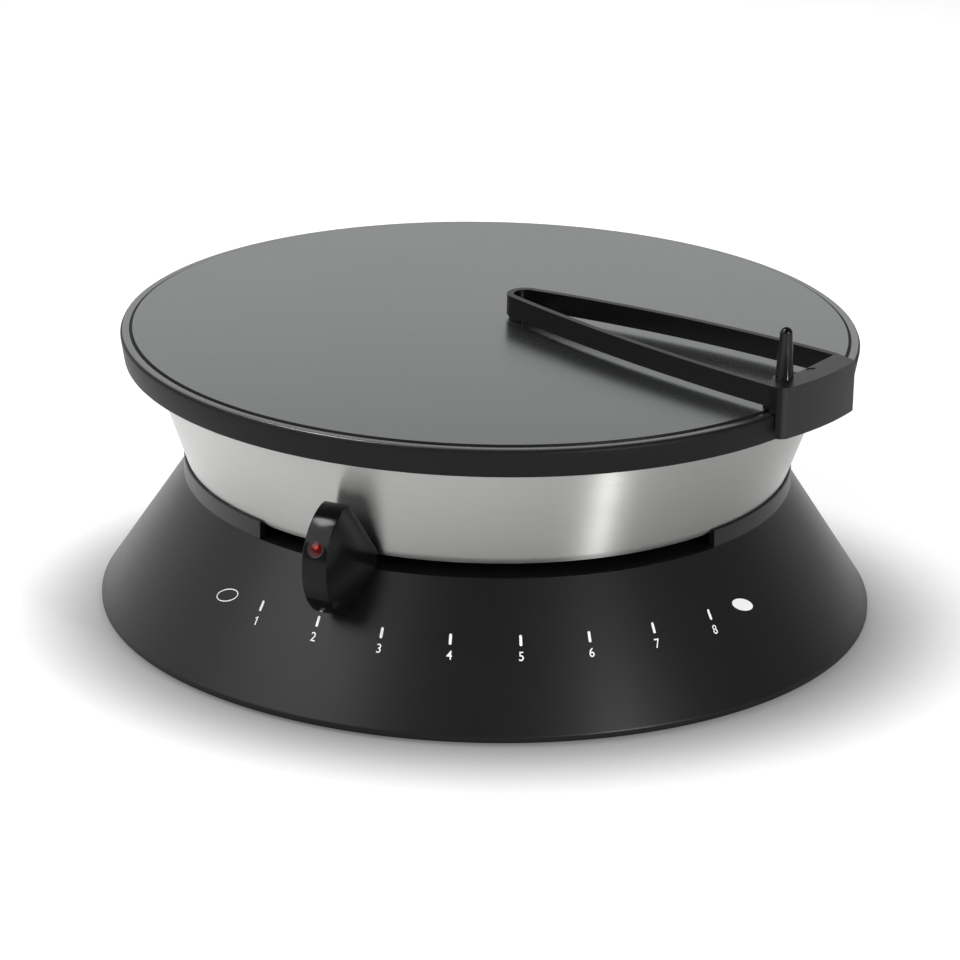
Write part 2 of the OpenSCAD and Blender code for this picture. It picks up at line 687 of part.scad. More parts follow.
module base_shell() {
    // Where the lip's rounding meets the upright lip and the cone
    round_x = base_r - lip_round;
    round_z = cone_z - lip_round * tan(cone_lean / 2);
    outline = concat(
        [[base_r - base_wall, base_z], [base_r - 0.5, base_z], [base_r, base_z + 0.5]],
        arc(round_x, round_z, lip_round, 0, 90 - (90 - cone_lean), 5),
        [[crease_r, crease_z], [collar_r, crease_z], [collar_r, collar_z - 0.3],
         [collar_r - 0.3, collar_z]],
        arc(bowl_arc_x, bowl_arc_z, bowl_round + collar_gap,
            asin((collar_z - bowl_arc_z) / (bowl_round + collar_gap)), collar_low_az, 5),
        [[bowl_arc_x + (bowl_round + collar_gap) * cos(collar_low_az), deck_z],
         [bush_r + hole_gap, deck_z], [bush_r + hole_gap, deck_low_z],
         [cone_r(deck_low_z) - cone_wall, deck_low_z],
         [base_r - base_wall, cone_z]]
    );
    solid_cone = [[0, floor_z], [base_r - base_wall, floor_z], [base_r - base_wall, cone_z],
                  [cone_r(deck_z) - cone_wall / 2, deck_z], [0, deck_z]];
    color("#17191a") difference() {
        union() {
            rotate_extrude($fn = 180) polygon(outline);
            for (a = stud_azs) at_az(a) translate([stud_circle_r, 0, deck_low_z])
                cylinder(r = stud_base_r, h = bowl_z - deck_low_z);
            at_az(stud_azs[0]) translate([0, 0, deck_z - through])
                rotate_extrude(angle = stud_azs[2] - stud_azs[0])
                    translate([support_rib_r, 0])
                        square([support_rib_w, bowl_z - deck_z + through]);
            intersection() {
                rotate_extrude() polygon(solid_cone);
                for (a = cover_screw_azs) at_az(a) translate([cover_screw_r, 0, floor_z])
                    cylinder(r = screw_boss_r, h = base_h);
            }
            translate([0, gland_in_y + gland_boss_end, gland_z]) rotate([-90, 0, 0])
                cylinder(r = gland_boss_r, h = gland_face_y - gland_in_y - gland_boss_end);
        }
        // Slot that the lever moves in, cut through the collar
        at_az(-slot_half_az) translate([0, 0, deck_z])
            rotate_extrude(angle = 2 * slot_half_az)
                translate([bowl_arc_x, 0]) square([collar_r, collar_h + deck_drop + through]);
        stud_holes(stud_r + seat_gap, deck_low_z - through, bowl_z + through);
        translate([0, grommet_y, deck_low_z - through])
            cylinder(r = grommet_r + hole_gap, h = deck_t + 2 * through);
        for (a = cover_screw_azs) at_az(a) translate([cover_screw_r, 0, floor_z - through])
            cylinder(r = screw_r + hole_gap, h = cover_screw_len + through);
        translate([0, gland_in_y, gland_z]) rotate([-90, 0, 0])
            cylinder(r = gland_neck_r + hole_gap, h = base_r - gland_in_y);
        // Flat seat for the gland's head
        translate([0, gland_face_y, gland_z]) rotate([-90, 0, 0])
            cylinder(r = gland_head_r + seat_gap, h = base_r - gland_face_y);
    }
}

module lever_bush() {
    bore = hub_r + run_gap;
    color("#b59a55") rotate_extrude() polygon([
        [bore, deck_low_z], [bush_r, deck_low_z], [bush_r, deck_z],
        [bush_flange_r, deck_z], [bush_flange_r, deck_z + bush_flange_t],
        [bore, deck_z + bush_flange_t]
    ]);
}

module base_cover() {
    slot_w = 4;
    slot_len = 24;
    slot_rings = [60, 96];
    color("#1d1e1f") difference() {
        translate([0, 0, cover_z]) cylinder(r = cover_r, h = cover_t, $fn = 180);
        for (a = [0 : 15 : 345], r = slot_rings) at_az(a + 7.5)
            translate([r, -slot_w / 2, cover_z - through])
                cube([slot_len, slot_w, cover_t + 2 * through]);
        for (a = cover_screw_azs) at_az(a) translate([cover_screw_r, 0, cover_z - through])
            cylinder(r = screw_r + hole_gap, h = cover_t + 2 * through);
        for (a = foot_azs) at_az(a) translate([foot_circle_r, 0, cover_z - through])
            cylinder(r = foot_stem_r + hole_gap, h = cover_t + 2 * through);
    }
}

module cover_screws() {
    color("#8f9294") for (a = cover_screw_azs) at_az(a) translate([cover_screw_r, 0, 0])
        screw(cover_z, cover_screw_len);
}

// Push-in feet: a pad under the cover, a stem through it and a barb on top
module feet() {
    color("#121212") for (a = foot_azs) at_az(a) translate([foot_circle_r, 0, 0])
        rotate_extrude($fn = 48) polygon([
            [0, 0], [foot_r - 0.8, 0], [foot_r, 0.8], [foot_r, cover_z],
            [foot_stem_r, cover_z], [foot_stem_r, floor_z],
            [foot_stem_r + foot_barb, floor_z], [foot_stem_r + 0.2, floor_z + foot_barb_h],
            [0, floor_z + foot_barb_h]
        ]);
}

module terminal_block() {
    color("#e9e4d6") difference() {
        translate([-block_len / 2, block_y - block_wide / 2, floor_z])
            cube([block_len, block_wide, block_high]);
        for (x = [-tube_gap, 0, tube_gap]) {
            translate([x, block_y - block_wide, floor_z + 9]) rotate([-90, 0, 0])
                cylinder(r = tube_r + hole_gap, h = 2 * block_wide);
            translate([x, block_y + 4, floor_z + 9]) cylinder(r = 2.6, h = block_high);
        }
    }
}

module terminal_tubes() {
    color("#c9a44f") for (x = [-tube_gap, 0, tube_gap])
        translate([x, block_y - block_wide / 2, floor_z + 9]) rotate([-90, 0, 0]) difference() {
            cylinder(r = tube_r, h = block_wide);
            translate([0, 0, -through]) cylinder(r = lead_r + hole_gap, h = block_wide + 2 * through);
        }
}

module terminal_screws() {
    color("#a8abad") for (x = [-tube_gap, 0, tube_gap])
        translate([x, block_y + 4, floor_z + 9 + tube_r + hole_gap])
            cylinder(r = 2.4, h = block_high - 9 - tube_r - 2);
}

// Cord gland, without a cord: head outside, neck through the boss, thread inside
module cord_gland() {
    color("#202122") translate([0, 0, gland_z]) rotate([-90, 0, 0]) rotate_extrude($fn = 48)
        polygon([
            [cord_r, gland_in_y - gland_thread], [gland_neck_r, gland_in_y - gland_thread],
            [gland_neck_r, gland_face_y], [gland_head_r, gland_face_y],
            [gland_head_r, gland_face_y + gland_head - 1.5],
            [gland_head_r - 1.5, gland_face_y + gland_head], [cord_r, gland_face_y + gland_head]
        ]);
}

module gland_nut() {
    y = gland_in_y + gland_boss_end - gland_nut_h;
    color("#202122") translate([0, y, gland_z]) rotate([-90, 0, 0]) difference() {
        cylinder(r = gland_nut_r, h = gland_nut_h, $fn = 6);
        translate([0, 0, -through])
            cylinder(r = gland_neck_r + hole_gap, h = gland_nut_h + 2 * through);
    }
}

module thermostat_shaft() {
    color("#b4b7b9") translate([0, 0, hub_low_z + 1])
        cylinder(r = shaft_r, h = shaft_top_z - hub_low_z - 1);
}

module lever_arm() {
    slot_w = 2.6;
    color("#2a2b2c") difference() {
        union() {
            translate([0, 0, hub_low_z]) cylinder(r = hub_r, h = hub_top_z - hub_low_z);
            at_az(lever_az) translate([0, -arm_w / 2, arm_z]) cube([arm_end_r, arm_w, arm_t]);
        }
        // Hole for the shaft, circlip groove, knob screw and the leads' groove
        translate([0, 0, hub_low_z - through])
            cylinder(r = shaft_r + run_gap, h = hub_top_z - hub_low_z + 2 * through);
        translate([0, 0, deck_low_z - seat_gap - clip_t - hole_gap]) difference() {
            cylinder(r = hub_r + 1, h = clip_t + 2 * hole_gap);
            translate([0, 0, -through])
                cylinder(r = hub_r - groove_depth, h = clip_t + 2 * through);
        }
        at_az(lever_az) translate([arm_screw_r, 0, arm_z - through])
            cylinder(r = screw_r - 0.4, h = arm_t + 2 * through);
        at_az(lever_az) translate([hub_r + 2, -slot_w / 2, arm_z + arm_t - 1.3])
            cube([arm_screw_r - hub_r - 6, slot_w, 1.3 + through]);
    }
}

module lever_circlip() {
    color("#6d7072") at_az(30) translate([0, 0, deck_low_z - seat_gap - clip_t])
        rotate_extrude(angle = 300)
            translate([hub_r - groove_depth + run_gap, 0]) square([3.6, clip_t]);
}

// Side outline of the knob without its wide back edge: x outwards, y up
module knob_side() {
    top_half = asin(knob_rise / knob_top_curve_r);
    low_half = asin(knob_fall / knob_low_curve_r);
    top_x = knob_front_r - knob_top_curve_r * (1 - cos(top_half));
    polygon(concat(
        [[top_x - knob_tip_w, knob_top_z - 0.5], [top_x - knob_tip_w + 0.7, knob_top_z]],
        arc(knob_front_r - knob_top_curve_r, knob_nose_z, knob_top_curve_r, top_half, 0, 9),
        arc(knob_front_r - knob_low_curve_r, knob_nose_z, knob_low_curve_r, -8, -low_half, 9),
        [[cone_r(knob_low_z) + knob_gap + 3, knob_low_z]]
    ));
}

module lever_knob() {
    pocket_h = arm_t + 2 * hole_gap;
    pocket_w = arm_w + 2 * hole_gap;
    color("#0c0c0d") at_az(lever_az) difference() {
        hull() {
            translate([0, knob_w / 2, 0]) rotate([90, 0, 0]) linear_extrude(knob_w) knob_side();
            translate([knob_back_r, -knob_back_w / 2, knob_back_z])
                cube([1.5, knob_back_w, knob_back_h]);
        }
        translate([knob_back_r - through, -pocket_w / 2, arm_z - hole_gap])
            cube([arm_end_r - knob_back_r + seat_gap + through, pocket_w, pocket_h]);
        translate([arm_screw_r, 0, knob_low_z - through])
            cylinder(r = 2 * screw_r + hole_gap, h = arm_z - 6 - knob_low_z + through);
        translate([arm_screw_r, 0, knob_low_z])
            cylinder(r = screw_r, h = arm_z - knob_low_z);
        translate([lens_x, 0, lens_z]) rotate([0, 90 - lens_tilt, 0]) {
            translate([0, 0, -lens_depth]) cylinder(r = lens_r + run_gap, h = 2 * lens_depth);
            translate([0, 0, -lens_depth - lamp_len - 1])
                cylinder(r = lamp_r + hole_gap, h = lens_depth + lamp_len);
        }
    }
}

module knob_screw() {
    color("#a8abad") at_az(lever_az) translate([arm_screw_r, 0, 0])
        screw(arm_z - 6, 6 + arm_t - 0.4, r = screw_r - 0.5);
}

module pilot_lens() {
    dome_r = (lens_r * lens_r + lens_proud * lens_proud) / (2 * lens_proud);
    color("#8e1512") at_az(lever_az) translate([lens_x, 0, lens_z]) rotate([0, 90 - lens_tilt, 0])
        rotate_extrude($fn = 48) polygon(concat(
            [[0, -lens_depth], [lens_r, -lens_depth]],
            arc(0, lens_proud - dome_r, dome_r, asin(1 - lens_proud / dome_r), 90, 6)
        ));
}

module pilot_lamp() {
    color("#e8b090") at_az(lever_az) translate([lens_x, 0, lens_z]) rotate([0, 90 - lens_tilt, 0])
        translate([0, 0, -lens_depth - seat_gap - lamp_len]) cylinder(r = lamp_r, h = lamp_len);
}

// Pair of thin leads in the arm's groove, from the hub to the knob
module lamp_leads() {
    lead_z = arm_z + arm_t - 0.7;
    color("#5a5a58") at_az(lever_az) for (s = [-1, 1])
        translate([hub_r + 3, s * 0.65, lead_z]) rotate([0, 90, 0])
            cylinder(r = thin_lead_r, h = arm_screw_r - hub_r - 8, $fn = 16);
}

// Outer plan of the spreader, or its opening when inset by the wall
module spreader_plan(inset) {
    r = tip_r - inset;
    front_lean = atan((tip_y - front_y) / block_in_x);
    front_foot = [tip_x, tip_y] + r * [-sin(front_lean), -cos(front_lean)];
    back_foot = [tip_x, tip_y] + r * [0, 1];
    end_x = inset > 0 ? block_in_x : block_in_x + 1;
    polygon(concat(
        bow(front_foot, [end_x, front_y + inset], blade_bow, 18),
        bow([end_x, back_y - inset], back_foot, back_bow, 18),
        arc(tip_x, tip_y, r, 96, 270 - front_lean - 6, 12)
    ));
}

// Plan of the end block: a curved outer face and a rounded front corner
module block_plan() {
    face_x = block_out_x - block_face_r;
    a0 = asin((front_y - 0.2 + block_round - block_face_y) / block_face_r);
    a1 = asin((back_y - block_taper - block_face_y) / block_face_r);
    corner_x = face_x + block_face_r * cos(a0) - block_round;
    polygon(concat(
        [[block_in_x, back_y], [block_in_x, front_y - 0.2]],
        arc(corner_x, front_y - 0.2 + block_round, block_round, -90, a0, 6),
        arc(face_x, block_face_y, block_face_r, a0 + 1, a1, 14)
    ));
}

module spreader_frame() {
    foot_gap_z = disc_z + seat_gap;
    rest_z = band_z + seat_gap;
    color("#1b1c1d") at_az(spreader_az) difference() {
        union() {
            // Walls
            translate([0, 0, blade_z]) linear_extrude(spreader_z - blade_z) difference() {
                spreader_plan(0);
                spreader_plan(blade_wall);
            }
            // Foot under the tip
            translate([0, 0, foot_gap_z]) linear_extrude(blade_z - foot_gap_z + through)
                intersection() {
                    difference() {
                        spreader_plan(1);
                        spreader_plan(blade_wall);
                    }
                    translate([tip_x - 20, tip_y - 30]) square([34, 60]);
                }
            // Block, with its front foot, and the hook outside the rim
            translate([0, 0, rest_z]) linear_extrude(spreader_z - rest_z) difference() {
                block_plan();
                circle(plate_r - rim_band_w + 1, $fn = 180);
            }
            translate([0, 0, foot_gap_z]) linear_extrude(spreader_z - foot_gap_z) union() {
                block_plan();
                translate([peg_x, peg_y]) circle(peg_boss_r, $fn = 32);
                translate([block_in_x - 5, front_y + 0.15]) square([6, blade_wall]);
                translate([block_in_x - 3, front_y + 1]) square([4, peg_y - front_y - 1]);
            }
            translate([0, 0, band_z - hook_drop]) linear_extrude(hook_drop + 3) difference() {
                block_plan();
                circle(hook_r, $fn = 180);
            }
        }
        translate([peg_x, peg_y, spreader_z - spigot_h])
            cylinder(r = spigot_r + run_gap, h = spigot_h + through);
        // Half-round recess in the block's top
        translate([block_in_x + 3.5, 4.2, spreader_z - 0.8]) intersection() {
            cylinder(r = 3, h = 2);
            translate([-3, -3, 0]) cube([3, 6, 2]);
        }
    }
}

module spreader_peg() {
    dome = peg_tip_r;
    color("#101112") at_az(spreader_az) translate([peg_x, peg_y, spreader_z])
        rotate_extrude($fn = 48) polygon(concat(
            [[0, -spigot_h + seat_gap], [spigot_r, -spigot_h + seat_gap], [spigot_r, 0],
             [peg_r, 0], [peg_tip_r, peg_h - dome]],
            arc(0, peg_h - dome, dome, 10, 90, 6)
        ));
}

griddle_plate();
heating_element();
element_seals();
clamp_plate();
clamp_nuts();
insulation_pad();
heat_shield();
shield_nuts();
plate_studs();
stud_nuts();
bowl_shell();
thermostat_body();
thermostat_bracket();
bracket_screws();
sensor_bulb();
thermal_cutout();
earth_tag();
lead_grommet();
internal_leads();
base_shell();
lever_bush();
base_cover();
cover_screws();
feet();
terminal_block();
terminal_tubes();
terminal_screws();
cord_gland();
gland_nut();
thermostat_shaft();
lever_arm();
lever_circlip();
lever_knob();
knob_screw();
pilot_lens();
pilot_lamp();
lamp_leads();
spreader_frame();
spreader_peg();
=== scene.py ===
"""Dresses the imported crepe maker: finer pieces, finishes, printed scale, light and camera.

Sizes in the classes are in millimetres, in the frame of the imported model, and become metres
where a mesh is made. Azimuths are degrees from the front, positive towards +X.
"""

import logging
import math
from collections.abc import Callable, Sequence
from dataclasses import dataclass
from enum import Enum

import bmesh
import bpy
from mathutils import Matrix, Vector


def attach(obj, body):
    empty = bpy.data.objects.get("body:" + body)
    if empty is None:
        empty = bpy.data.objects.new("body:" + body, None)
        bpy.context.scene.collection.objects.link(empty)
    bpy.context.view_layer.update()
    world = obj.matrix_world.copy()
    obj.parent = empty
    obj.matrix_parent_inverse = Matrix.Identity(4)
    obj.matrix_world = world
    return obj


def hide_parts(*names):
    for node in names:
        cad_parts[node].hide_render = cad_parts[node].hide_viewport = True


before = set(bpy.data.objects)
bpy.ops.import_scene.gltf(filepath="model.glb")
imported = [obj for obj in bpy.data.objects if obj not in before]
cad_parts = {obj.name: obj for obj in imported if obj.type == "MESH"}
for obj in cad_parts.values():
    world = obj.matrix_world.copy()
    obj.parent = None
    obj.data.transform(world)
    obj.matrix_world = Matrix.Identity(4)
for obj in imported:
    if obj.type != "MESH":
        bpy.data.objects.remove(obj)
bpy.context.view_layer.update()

log = logging.getLogger("crepe_maker")

MM = 0.001

Point2 = tuple[float, float]
Color = tuple[float, float, float]


class Body(str, Enum):
    """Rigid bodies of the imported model."""

    HOUSING = "housing"
    LEVER = "heat_lever"
    SPREADER = "spreader"


class Merge(str, Enum):
    """Ways to join or cut two meshes."""

    UNION = "UNION"
    CUT = "DIFFERENCE"
    KEEP = "INTERSECT"


# ---------------------------------------------------------------------------------------
# Shader maths
# ---------------------------------------------------------------------------------------


class Signal:
    """A number that varies over a surface. Operators on it add Math nodes."""

    def __init__(self, shader: "Shader", socket: bpy.types.NodeSocket) -> None:
        """Wraps one output socket of the shader's tree."""
        self.shader = shader
        self.socket = socket

    def __add__(self, other: "Signal | float") -> "Signal":
        """Sum."""
        return self.shader.math("ADD", self, other)

    __radd__ = __add__

    def __sub__(self, other: "Signal | float") -> "Signal":
        """Difference."""
        return self.shader.math("SUBTRACT", self, other)

    def __rsub__(self, other: "Signal | float") -> "Signal":
        """Difference with this signal taken away."""
        return self.shader.math("SUBTRACT", other, self)

    def __mul__(self, other: "Signal | float") -> "Signal":
        """Product."""
        return self.shader.math("MULTIPLY", self, other)

    __rmul__ = __mul__

    def __truediv__(self, other: "Signal | float") -> "Signal":
        """Quotient."""
        return self.shader.math("DIVIDE", self, other)

    def __rtruediv__(self, other: "Signal | float") -> "Signal":
        """Quotient with this signal below."""
        return self.shader.math("DIVIDE", other, self)

    def __pow__(self, other: "Signal | float") -> "Signal":
        """Power."""
        return self.shader.math("POWER", self, other)

    def ramp(self, low: float, high: float) -> "Signal":
        """Smooth step.

        Args:
            low: Value of this signal that gives 0.
            high: Value of this signal that gives 1.

        Returns:
            The step as a new signal.
        """
        made = self.shader.node(
            "ShaderNodeMapRange",
            {"interpolation_type": "SMOOTHSTEP"},
            {"Value": self, "From Min": low, "From Max": high},
        )
        return Signal(self.shader, made.outputs["Result"])


class Shader:
    """One material and the nodes in its tree."""

    def __init__(self, name: str) -> None:
        """Starts an empty material called name."""
        self.material = bpy.data.materials.new(name)
        self.material.use_nodes = True
        self.tree = self.material.node_tree
        self.tree.nodes.clear()

    def node(
        self,
        kind: str,
        settings: dict[str, object] | None = None,
        inputs: dict[str | int, object] | None = None,
    ) -> bpy.types.Node:
        """Adds a node.

        Args:
            kind: The node's type.
            settings: Its properties, set before its sockets exist in their final form.
            inputs: Values or links of its sockets, by name or place.

        Returns:
            The node.
        """
        made = self.tree.nodes.new(kind)
        for key, value in (settings or {}).items():
            setattr(made, key, value)
        for key, value in (inputs or {}).items():
            self.feed(made.inputs[key], value)
        return made

    def feed(self, socket: bpy.types.NodeSocket, value: object) -> None:
        """Sets a socket to a number or colour, or links it to a signal or output."""
        if isinstance(value, Signal):
            self.tree.links.new(value.socket, socket)
        elif isinstance(value, bpy.types.NodeSocket):
            self.tree.links.new(value, socket)
        else:
            socket.default_value = value

    def math(self, operation: str, *values: "Signal | float") -> Signal:
        """Adds a Math node for operation on the values."""
        made = self.node(
            "ShaderNodeMath", {"operation": operation}, dict(enumerate(values))
        )
        return Signal(self, made.outputs[0])

    def place(self) -> tuple[Signal, Signal, Signal]:
        """Object coordinates x, y and z, in metres."""
        coords = self.node("ShaderNodeTexCoord")
        split = self.node("ShaderNodeSeparateXYZ", inputs={0: coords.outputs["Object"]})
        return tuple(Signal(self, split.outputs[i]) for i in range(3))

    def vector(self, x: object, y: object, z: object) -> bpy.types.NodeSocket:
        """Joins three signals or numbers to a vector."""
        return self.node("ShaderNodeCombineXYZ", inputs={0: x, 1: y, 2: z}).outputs[0]

    def noise(
        self,
        scale: float,
        detail: float = 2.0,
        at: bpy.types.NodeSocket | None = None,
    ) -> Signal:
        """Fractal noise between 0 and 1.

        Args:
            scale: Number of waves in a metre, or in a unit of at.
            detail: Number of finer octaves.
            at: Place to read it at, by default the object coordinates.

        Returns:
            The noise as a signal.
        """
        if at is None:
            at = self.node("ShaderNodeTexCoord").outputs["Object"]
        made = self.node(
            "ShaderNodeTexNoise",
            inputs={"Vector": at, "Scale": scale, "Detail": detail, "Roughness": 0.55},
        )
        return Signal(self, made.outputs[0])

    def blend(self, share: Signal, low: object, high: object) -> bpy.types.NodeSocket:
        """Colour between low and high.

        Args:
            share: 0 gives low, 1 gives high.
            low: Colour triple or socket.
            high: Colour triple or socket.

        Returns:
            The mixed colour's socket.
        """
        made = self.node("ShaderNodeMix", {"data_type": "RGBA"})
        self.feed(made.inputs["Factor"], share)
        for name, value in (("A", low), ("B", high)):
            socket = next(
                s for s in made.inputs if s.name == name and s.type == "RGBA"
            )
            self.feed(socket, (*value, 1.0) if isinstance(value, tuple) else value)
        return next(s for s in made.outputs if s.type == "RGBA")

    def tint(
        self, share: Signal, color: Color, low: float, high: float
    ) -> bpy.types.NodeSocket:
        """Colour between two shades of one colour, by their factors low and high."""
        return self.blend(share, shade(color, low), shade(color, high))

    def bump(self, height: Signal, depth_mm: float) -> bpy.types.NodeSocket:
        """Normal from a height between 0 and 1 that stands for depth_mm."""
        made = self.node(
            "ShaderNodeBump",
            inputs={"Strength": 1.0, "Distance": depth_mm * MM, "Height": height},
        )
        return made.outputs["Normal"]

    def shell(self, inputs: dict[str, object]) -> bpy.types.NodeSocket:
        """Principled surface with the given sockets, not yet joined to the output."""
        fixed = {
            key: (*value, 1.0) if isinstance(value, tuple) and len(value) == 3 else value
            for key, value in inputs.items()
        }
        return self.node("ShaderNodeBsdfPrincipled", inputs=fixed).outputs[0]

    def surface(
        self,
        inputs: dict[str, object],
        share: Signal | None = None,
        other: dict[str, object] | None = None,
    ) -> bpy.types.Material:
        """Closes the tree with a Principled surface, or with two side by side.

        Args:
            inputs: Values or links of the surface's sockets.
            share: Where there is a second surface: 0 shows the first, 1 the second.
            other: Sockets of the second surface.

        Returns:
            The finished material.
        """
        shown = self.shell(inputs)
        if share is not None and other is not None:
            mixed = self.node(
                "ShaderNodeMixShader", inputs={0: share, 1: shown, 2: self.shell(other)}
            )
            shown = mixed.outputs[0]
        self.node("ShaderNodeOutputMaterial", inputs={"Surface": shown})
        return self.material


# ---------------------------------------------------------------------------------------
# Finishes
# ---------------------------------------------------------------------------------------


def shade(color: Color, factor: float) -> Color:
    """Colour made lighter or darker by a factor."""
    return tuple(min(1.0, c * factor) for c in color)


@dataclass(frozen=True)
class Finish:
    """A finish that belongs to one of the record's slots."""

    slot: str
    color: Color
    roughness: float = 0.5

    def build(self) -> bpy.types.Material:
        """Makes the finish's material."""
        raise NotImplementedError


@dataclass(frozen=True)
class MouldedPlastic(Finish):
    """Moulded plastic or rubber with a fine spark-eroded grain and faint cloudiness."""

    grain: float = 2600.0
    grain_mm: float = 0.02
    cloud: float = 0.08
    specular: float = 0.5

    def build(self) -> bpy.types.Material:
        """Makes the grained plastic."""
        sh = Shader(self.slot)
        fine = sh.noise(self.grain, 2.0)
        wide = sh.noise(22.0, 3.0)
        mid = sh.noise(140.0, 3.0)
        tone = wide * 0.6 + mid * 0.4
        color = sh.tint(tone, self.color, 1 - self.cloud, 1 + self.cloud)
        rough = self.roughness - 0.5 * self.cloud + tone * self.cloud + (fine - 0.5) * 0.04
        return sh.surface(
            {
                "Base Color": color,
                "Roughness": rough,
                "Specular IOR Level": self.specular,
                "Normal": sh.bump(fine, self.grain_mm),
            }
        )


@dataclass(frozen=True)
class SpreaderPlastic(Finish):
    """Black plastic of the spreader in a shaded and a lit copy: smoother walls painted darker as
    painted shade, and an end block painted lighter as painted light.
    """

    painted_shade_wall_color: Color = (0.003, 0.0032, 0.003)
    wall_roughness: float = 0.3
    wall_specular: float = 0.16
    block_specular: float = 0.4
    azimuth: float = 0.0
    block_x: float = 170.0
    front_y: float = -27.2

    def build(self) -> bpy.types.Material:
        """Makes both surfaces, told apart by the distance out along the spreader."""
        sh = Shader(self.slot)
        x, y, _ = sh.place()
        turn = math.radians(self.azimuth)
        along = x * math.sin(turn) - y * math.cos(turn)
        across = x * math.cos(turn) + y * math.sin(turn)
        top = along.ramp((self.block_x - 0.6) * MM, (self.block_x + 0.6) * MM)
        inner = across.ramp((self.front_y + 0.2) * MM, (self.front_y + 0.9) * MM)
        corner = along.ramp((self.block_x + 6.0) * MM, (self.block_x + 8.5) * MM)
        # painted shade and light: the walls take the darker copy, the block's top and outer end the
        # lighter copy of the same plastic
        share = sh.math("MAXIMUM", corner, top * inner)
        fine = sh.noise(2600.0, 2.0)
        tone = sh.noise(60.0, 3.0)
        normal = sh.bump(fine, 0.004)
        return sh.surface(
            {
                "Base Color": sh.tint(tone, self.painted_shade_wall_color, 0.8, 1.2),
                "Roughness": self.wall_roughness + (tone - 0.5) * 0.06,
                "Specular IOR Level": self.wall_specular,
                "Normal": normal,
            },
            share,
            {
                "Base Color": sh.tint(tone, self.color, 0.9, 1.1),
                "Roughness": self.roughness + (fine - 0.5) * 0.05,
                "Specular IOR Level": self.block_specular,
                "Normal": normal,
            },
        )


@dataclass(frozen=True)
class CastIron(Finish):
    """Machined and seasoned cooking disc, with a dark cast skirt, a dark groove ring at the step
    painted as shade, and a lighter speckled outer edge painted as a highlight.
    """

    rim_color: Color = (0.009, 0.009, 0.009)
    rim_roughness: float = 0.45
    edge_highlight_color: Color = (0.04, 0.041, 0.04)
    top_z: float = 135.6
    edge_r: float = 174.0
    groove_shade_r: tuple[float, float] = (168.9, 170.4)
    gloss_ior: float = 3.28
    gloss_tint: Color = (0.96, 1.0, 0.985)
    rim_specular: float = 0.12

    def build(self) -> bpy.types.Material:
        """Makes the top, the edge and the skirt, told apart by radius and height."""
        sh = Shader(self.slot)
        x, y, z = sh.place()
        radius = (x * x + y * y) ** 0.5
        upper = z.ramp((self.top_z - 0.3) * MM, (self.top_z + 0.1) * MM)
        near, far = (r * MM for r in self.groove_shade_r)
        # painted shade: the groove ring at the step takes the skirt's dark, dull surface as a
        # painted shadow line
        groove = radius.ramp(near, near + 0.1 * MM) * (1 - radius.ramp(far, far + 0.1 * MM))
        blotch = sh.noise(14.0, 4.0)
        grain = sh.noise(900.0, 3.0)
        turned = sh.noise(
            1.0, 2.0, sh.vector(radius * 900.0, x / radius * 1.5, y / radius * 1.5)
        )
        tone = blotch * 0.5 + grain * 0.3 + turned * 0.2
        # painted highlight: the rim's outer rounding on top is painted lighter and speckled
        edge_highlight_share = upper * radius.ramp((self.edge_r - 0.25) * MM, (self.edge_r + 0.1) * MM)
        speckle = sh.noise(1500.0, 2.0).ramp(0.3, 0.7)
        top = sh.tint(tone, self.color, 0.8, 1.2)
        cast = sh.tint(grain, self.rim_color, 0.8, 1.3)
        edge_highlight = sh.tint(speckle, self.edge_highlight_color, 0.45, 1.3)
        normal = sh.bump(grain * 0.7 + turned * 0.3, 0.007)
        return sh.surface(
            {
                "Base Color": cast,
                "Roughness": self.rim_roughness + (grain - 0.5) * 0.1,
                "Specular IOR Level": self.rim_specular,
                "Normal": normal,
            },
            upper * (1 - groove),
            {
                "Base Color": sh.blend(edge_highlight_share, top, edge_highlight),
                "Roughness": self.roughness + (tone - 0.5) * 0.12,
                "IOR": self.gloss_ior,
                "Specular Tint": self.gloss_tint,
                "Normal": normal,
            },
        )


@dataclass(frozen=True)
class BrushedSteel(Finish):
    """Stainless sheet brushed round the Z axis."""

    lines: float = 5200.0

    def build(self) -> bpy.types.Material:
        """Makes the brushed sheet; its streaks follow the azimuth without a seam."""
        sh = Shader(self.slot)
        x, y, z = sh.place()
        radius = (x * x + y * y) ** 0.5
        along = sh.vector(x / radius * 6.0, y / radius * 6.0, z * self.lines)
        streak = sh.noise(1.0, 3.0, along)
        band = sh.noise(1.0, 2.0, sh.vector(x / radius * 3.0, y / radius * 3.0, z * 420.0))
        tone = streak * 0.6 + band * 0.4
        return sh.surface(
            {
                "Base Color": sh.tint(tone, self.color, 0.93, 1.07),
                "Metallic": 1.0,
                "Roughness": self.roughness + (tone - 0.5) * 0.14,
                "Anisotropic": 0.98,
                "Anisotropic Rotation": 0.25,
                "Normal": sh.bump(streak, 0.0022),
            }
        )


@dataclass(frozen=True)
class PlainMetal(Finish):
    """Plated, drawn or turned metal with a little tarnish."""

    tarnish: Color = (0.3, 0.28, 0.25)
    wear: float = 0.35

    def build(self) -> bpy.types.Material:
        """Makes the metal and its tarnish."""
        sh = Shader(self.slot)
        cloud = sh.noise(70.0, 4.0)
        fine = sh.noise(1500.0, 2.0)
        patch = cloud.ramp(0.42, 0.72) * self.wear
        return sh.surface(
            {
                "Base Color": sh.blend(patch, self.color, self.tarnish),
                "Metallic": 1.0,
                "Roughness": self.roughness + patch * 0.3 + (fine - 0.5) * 0.08,
                "Normal": sh.bump(fine, 0.01),
            }
        )


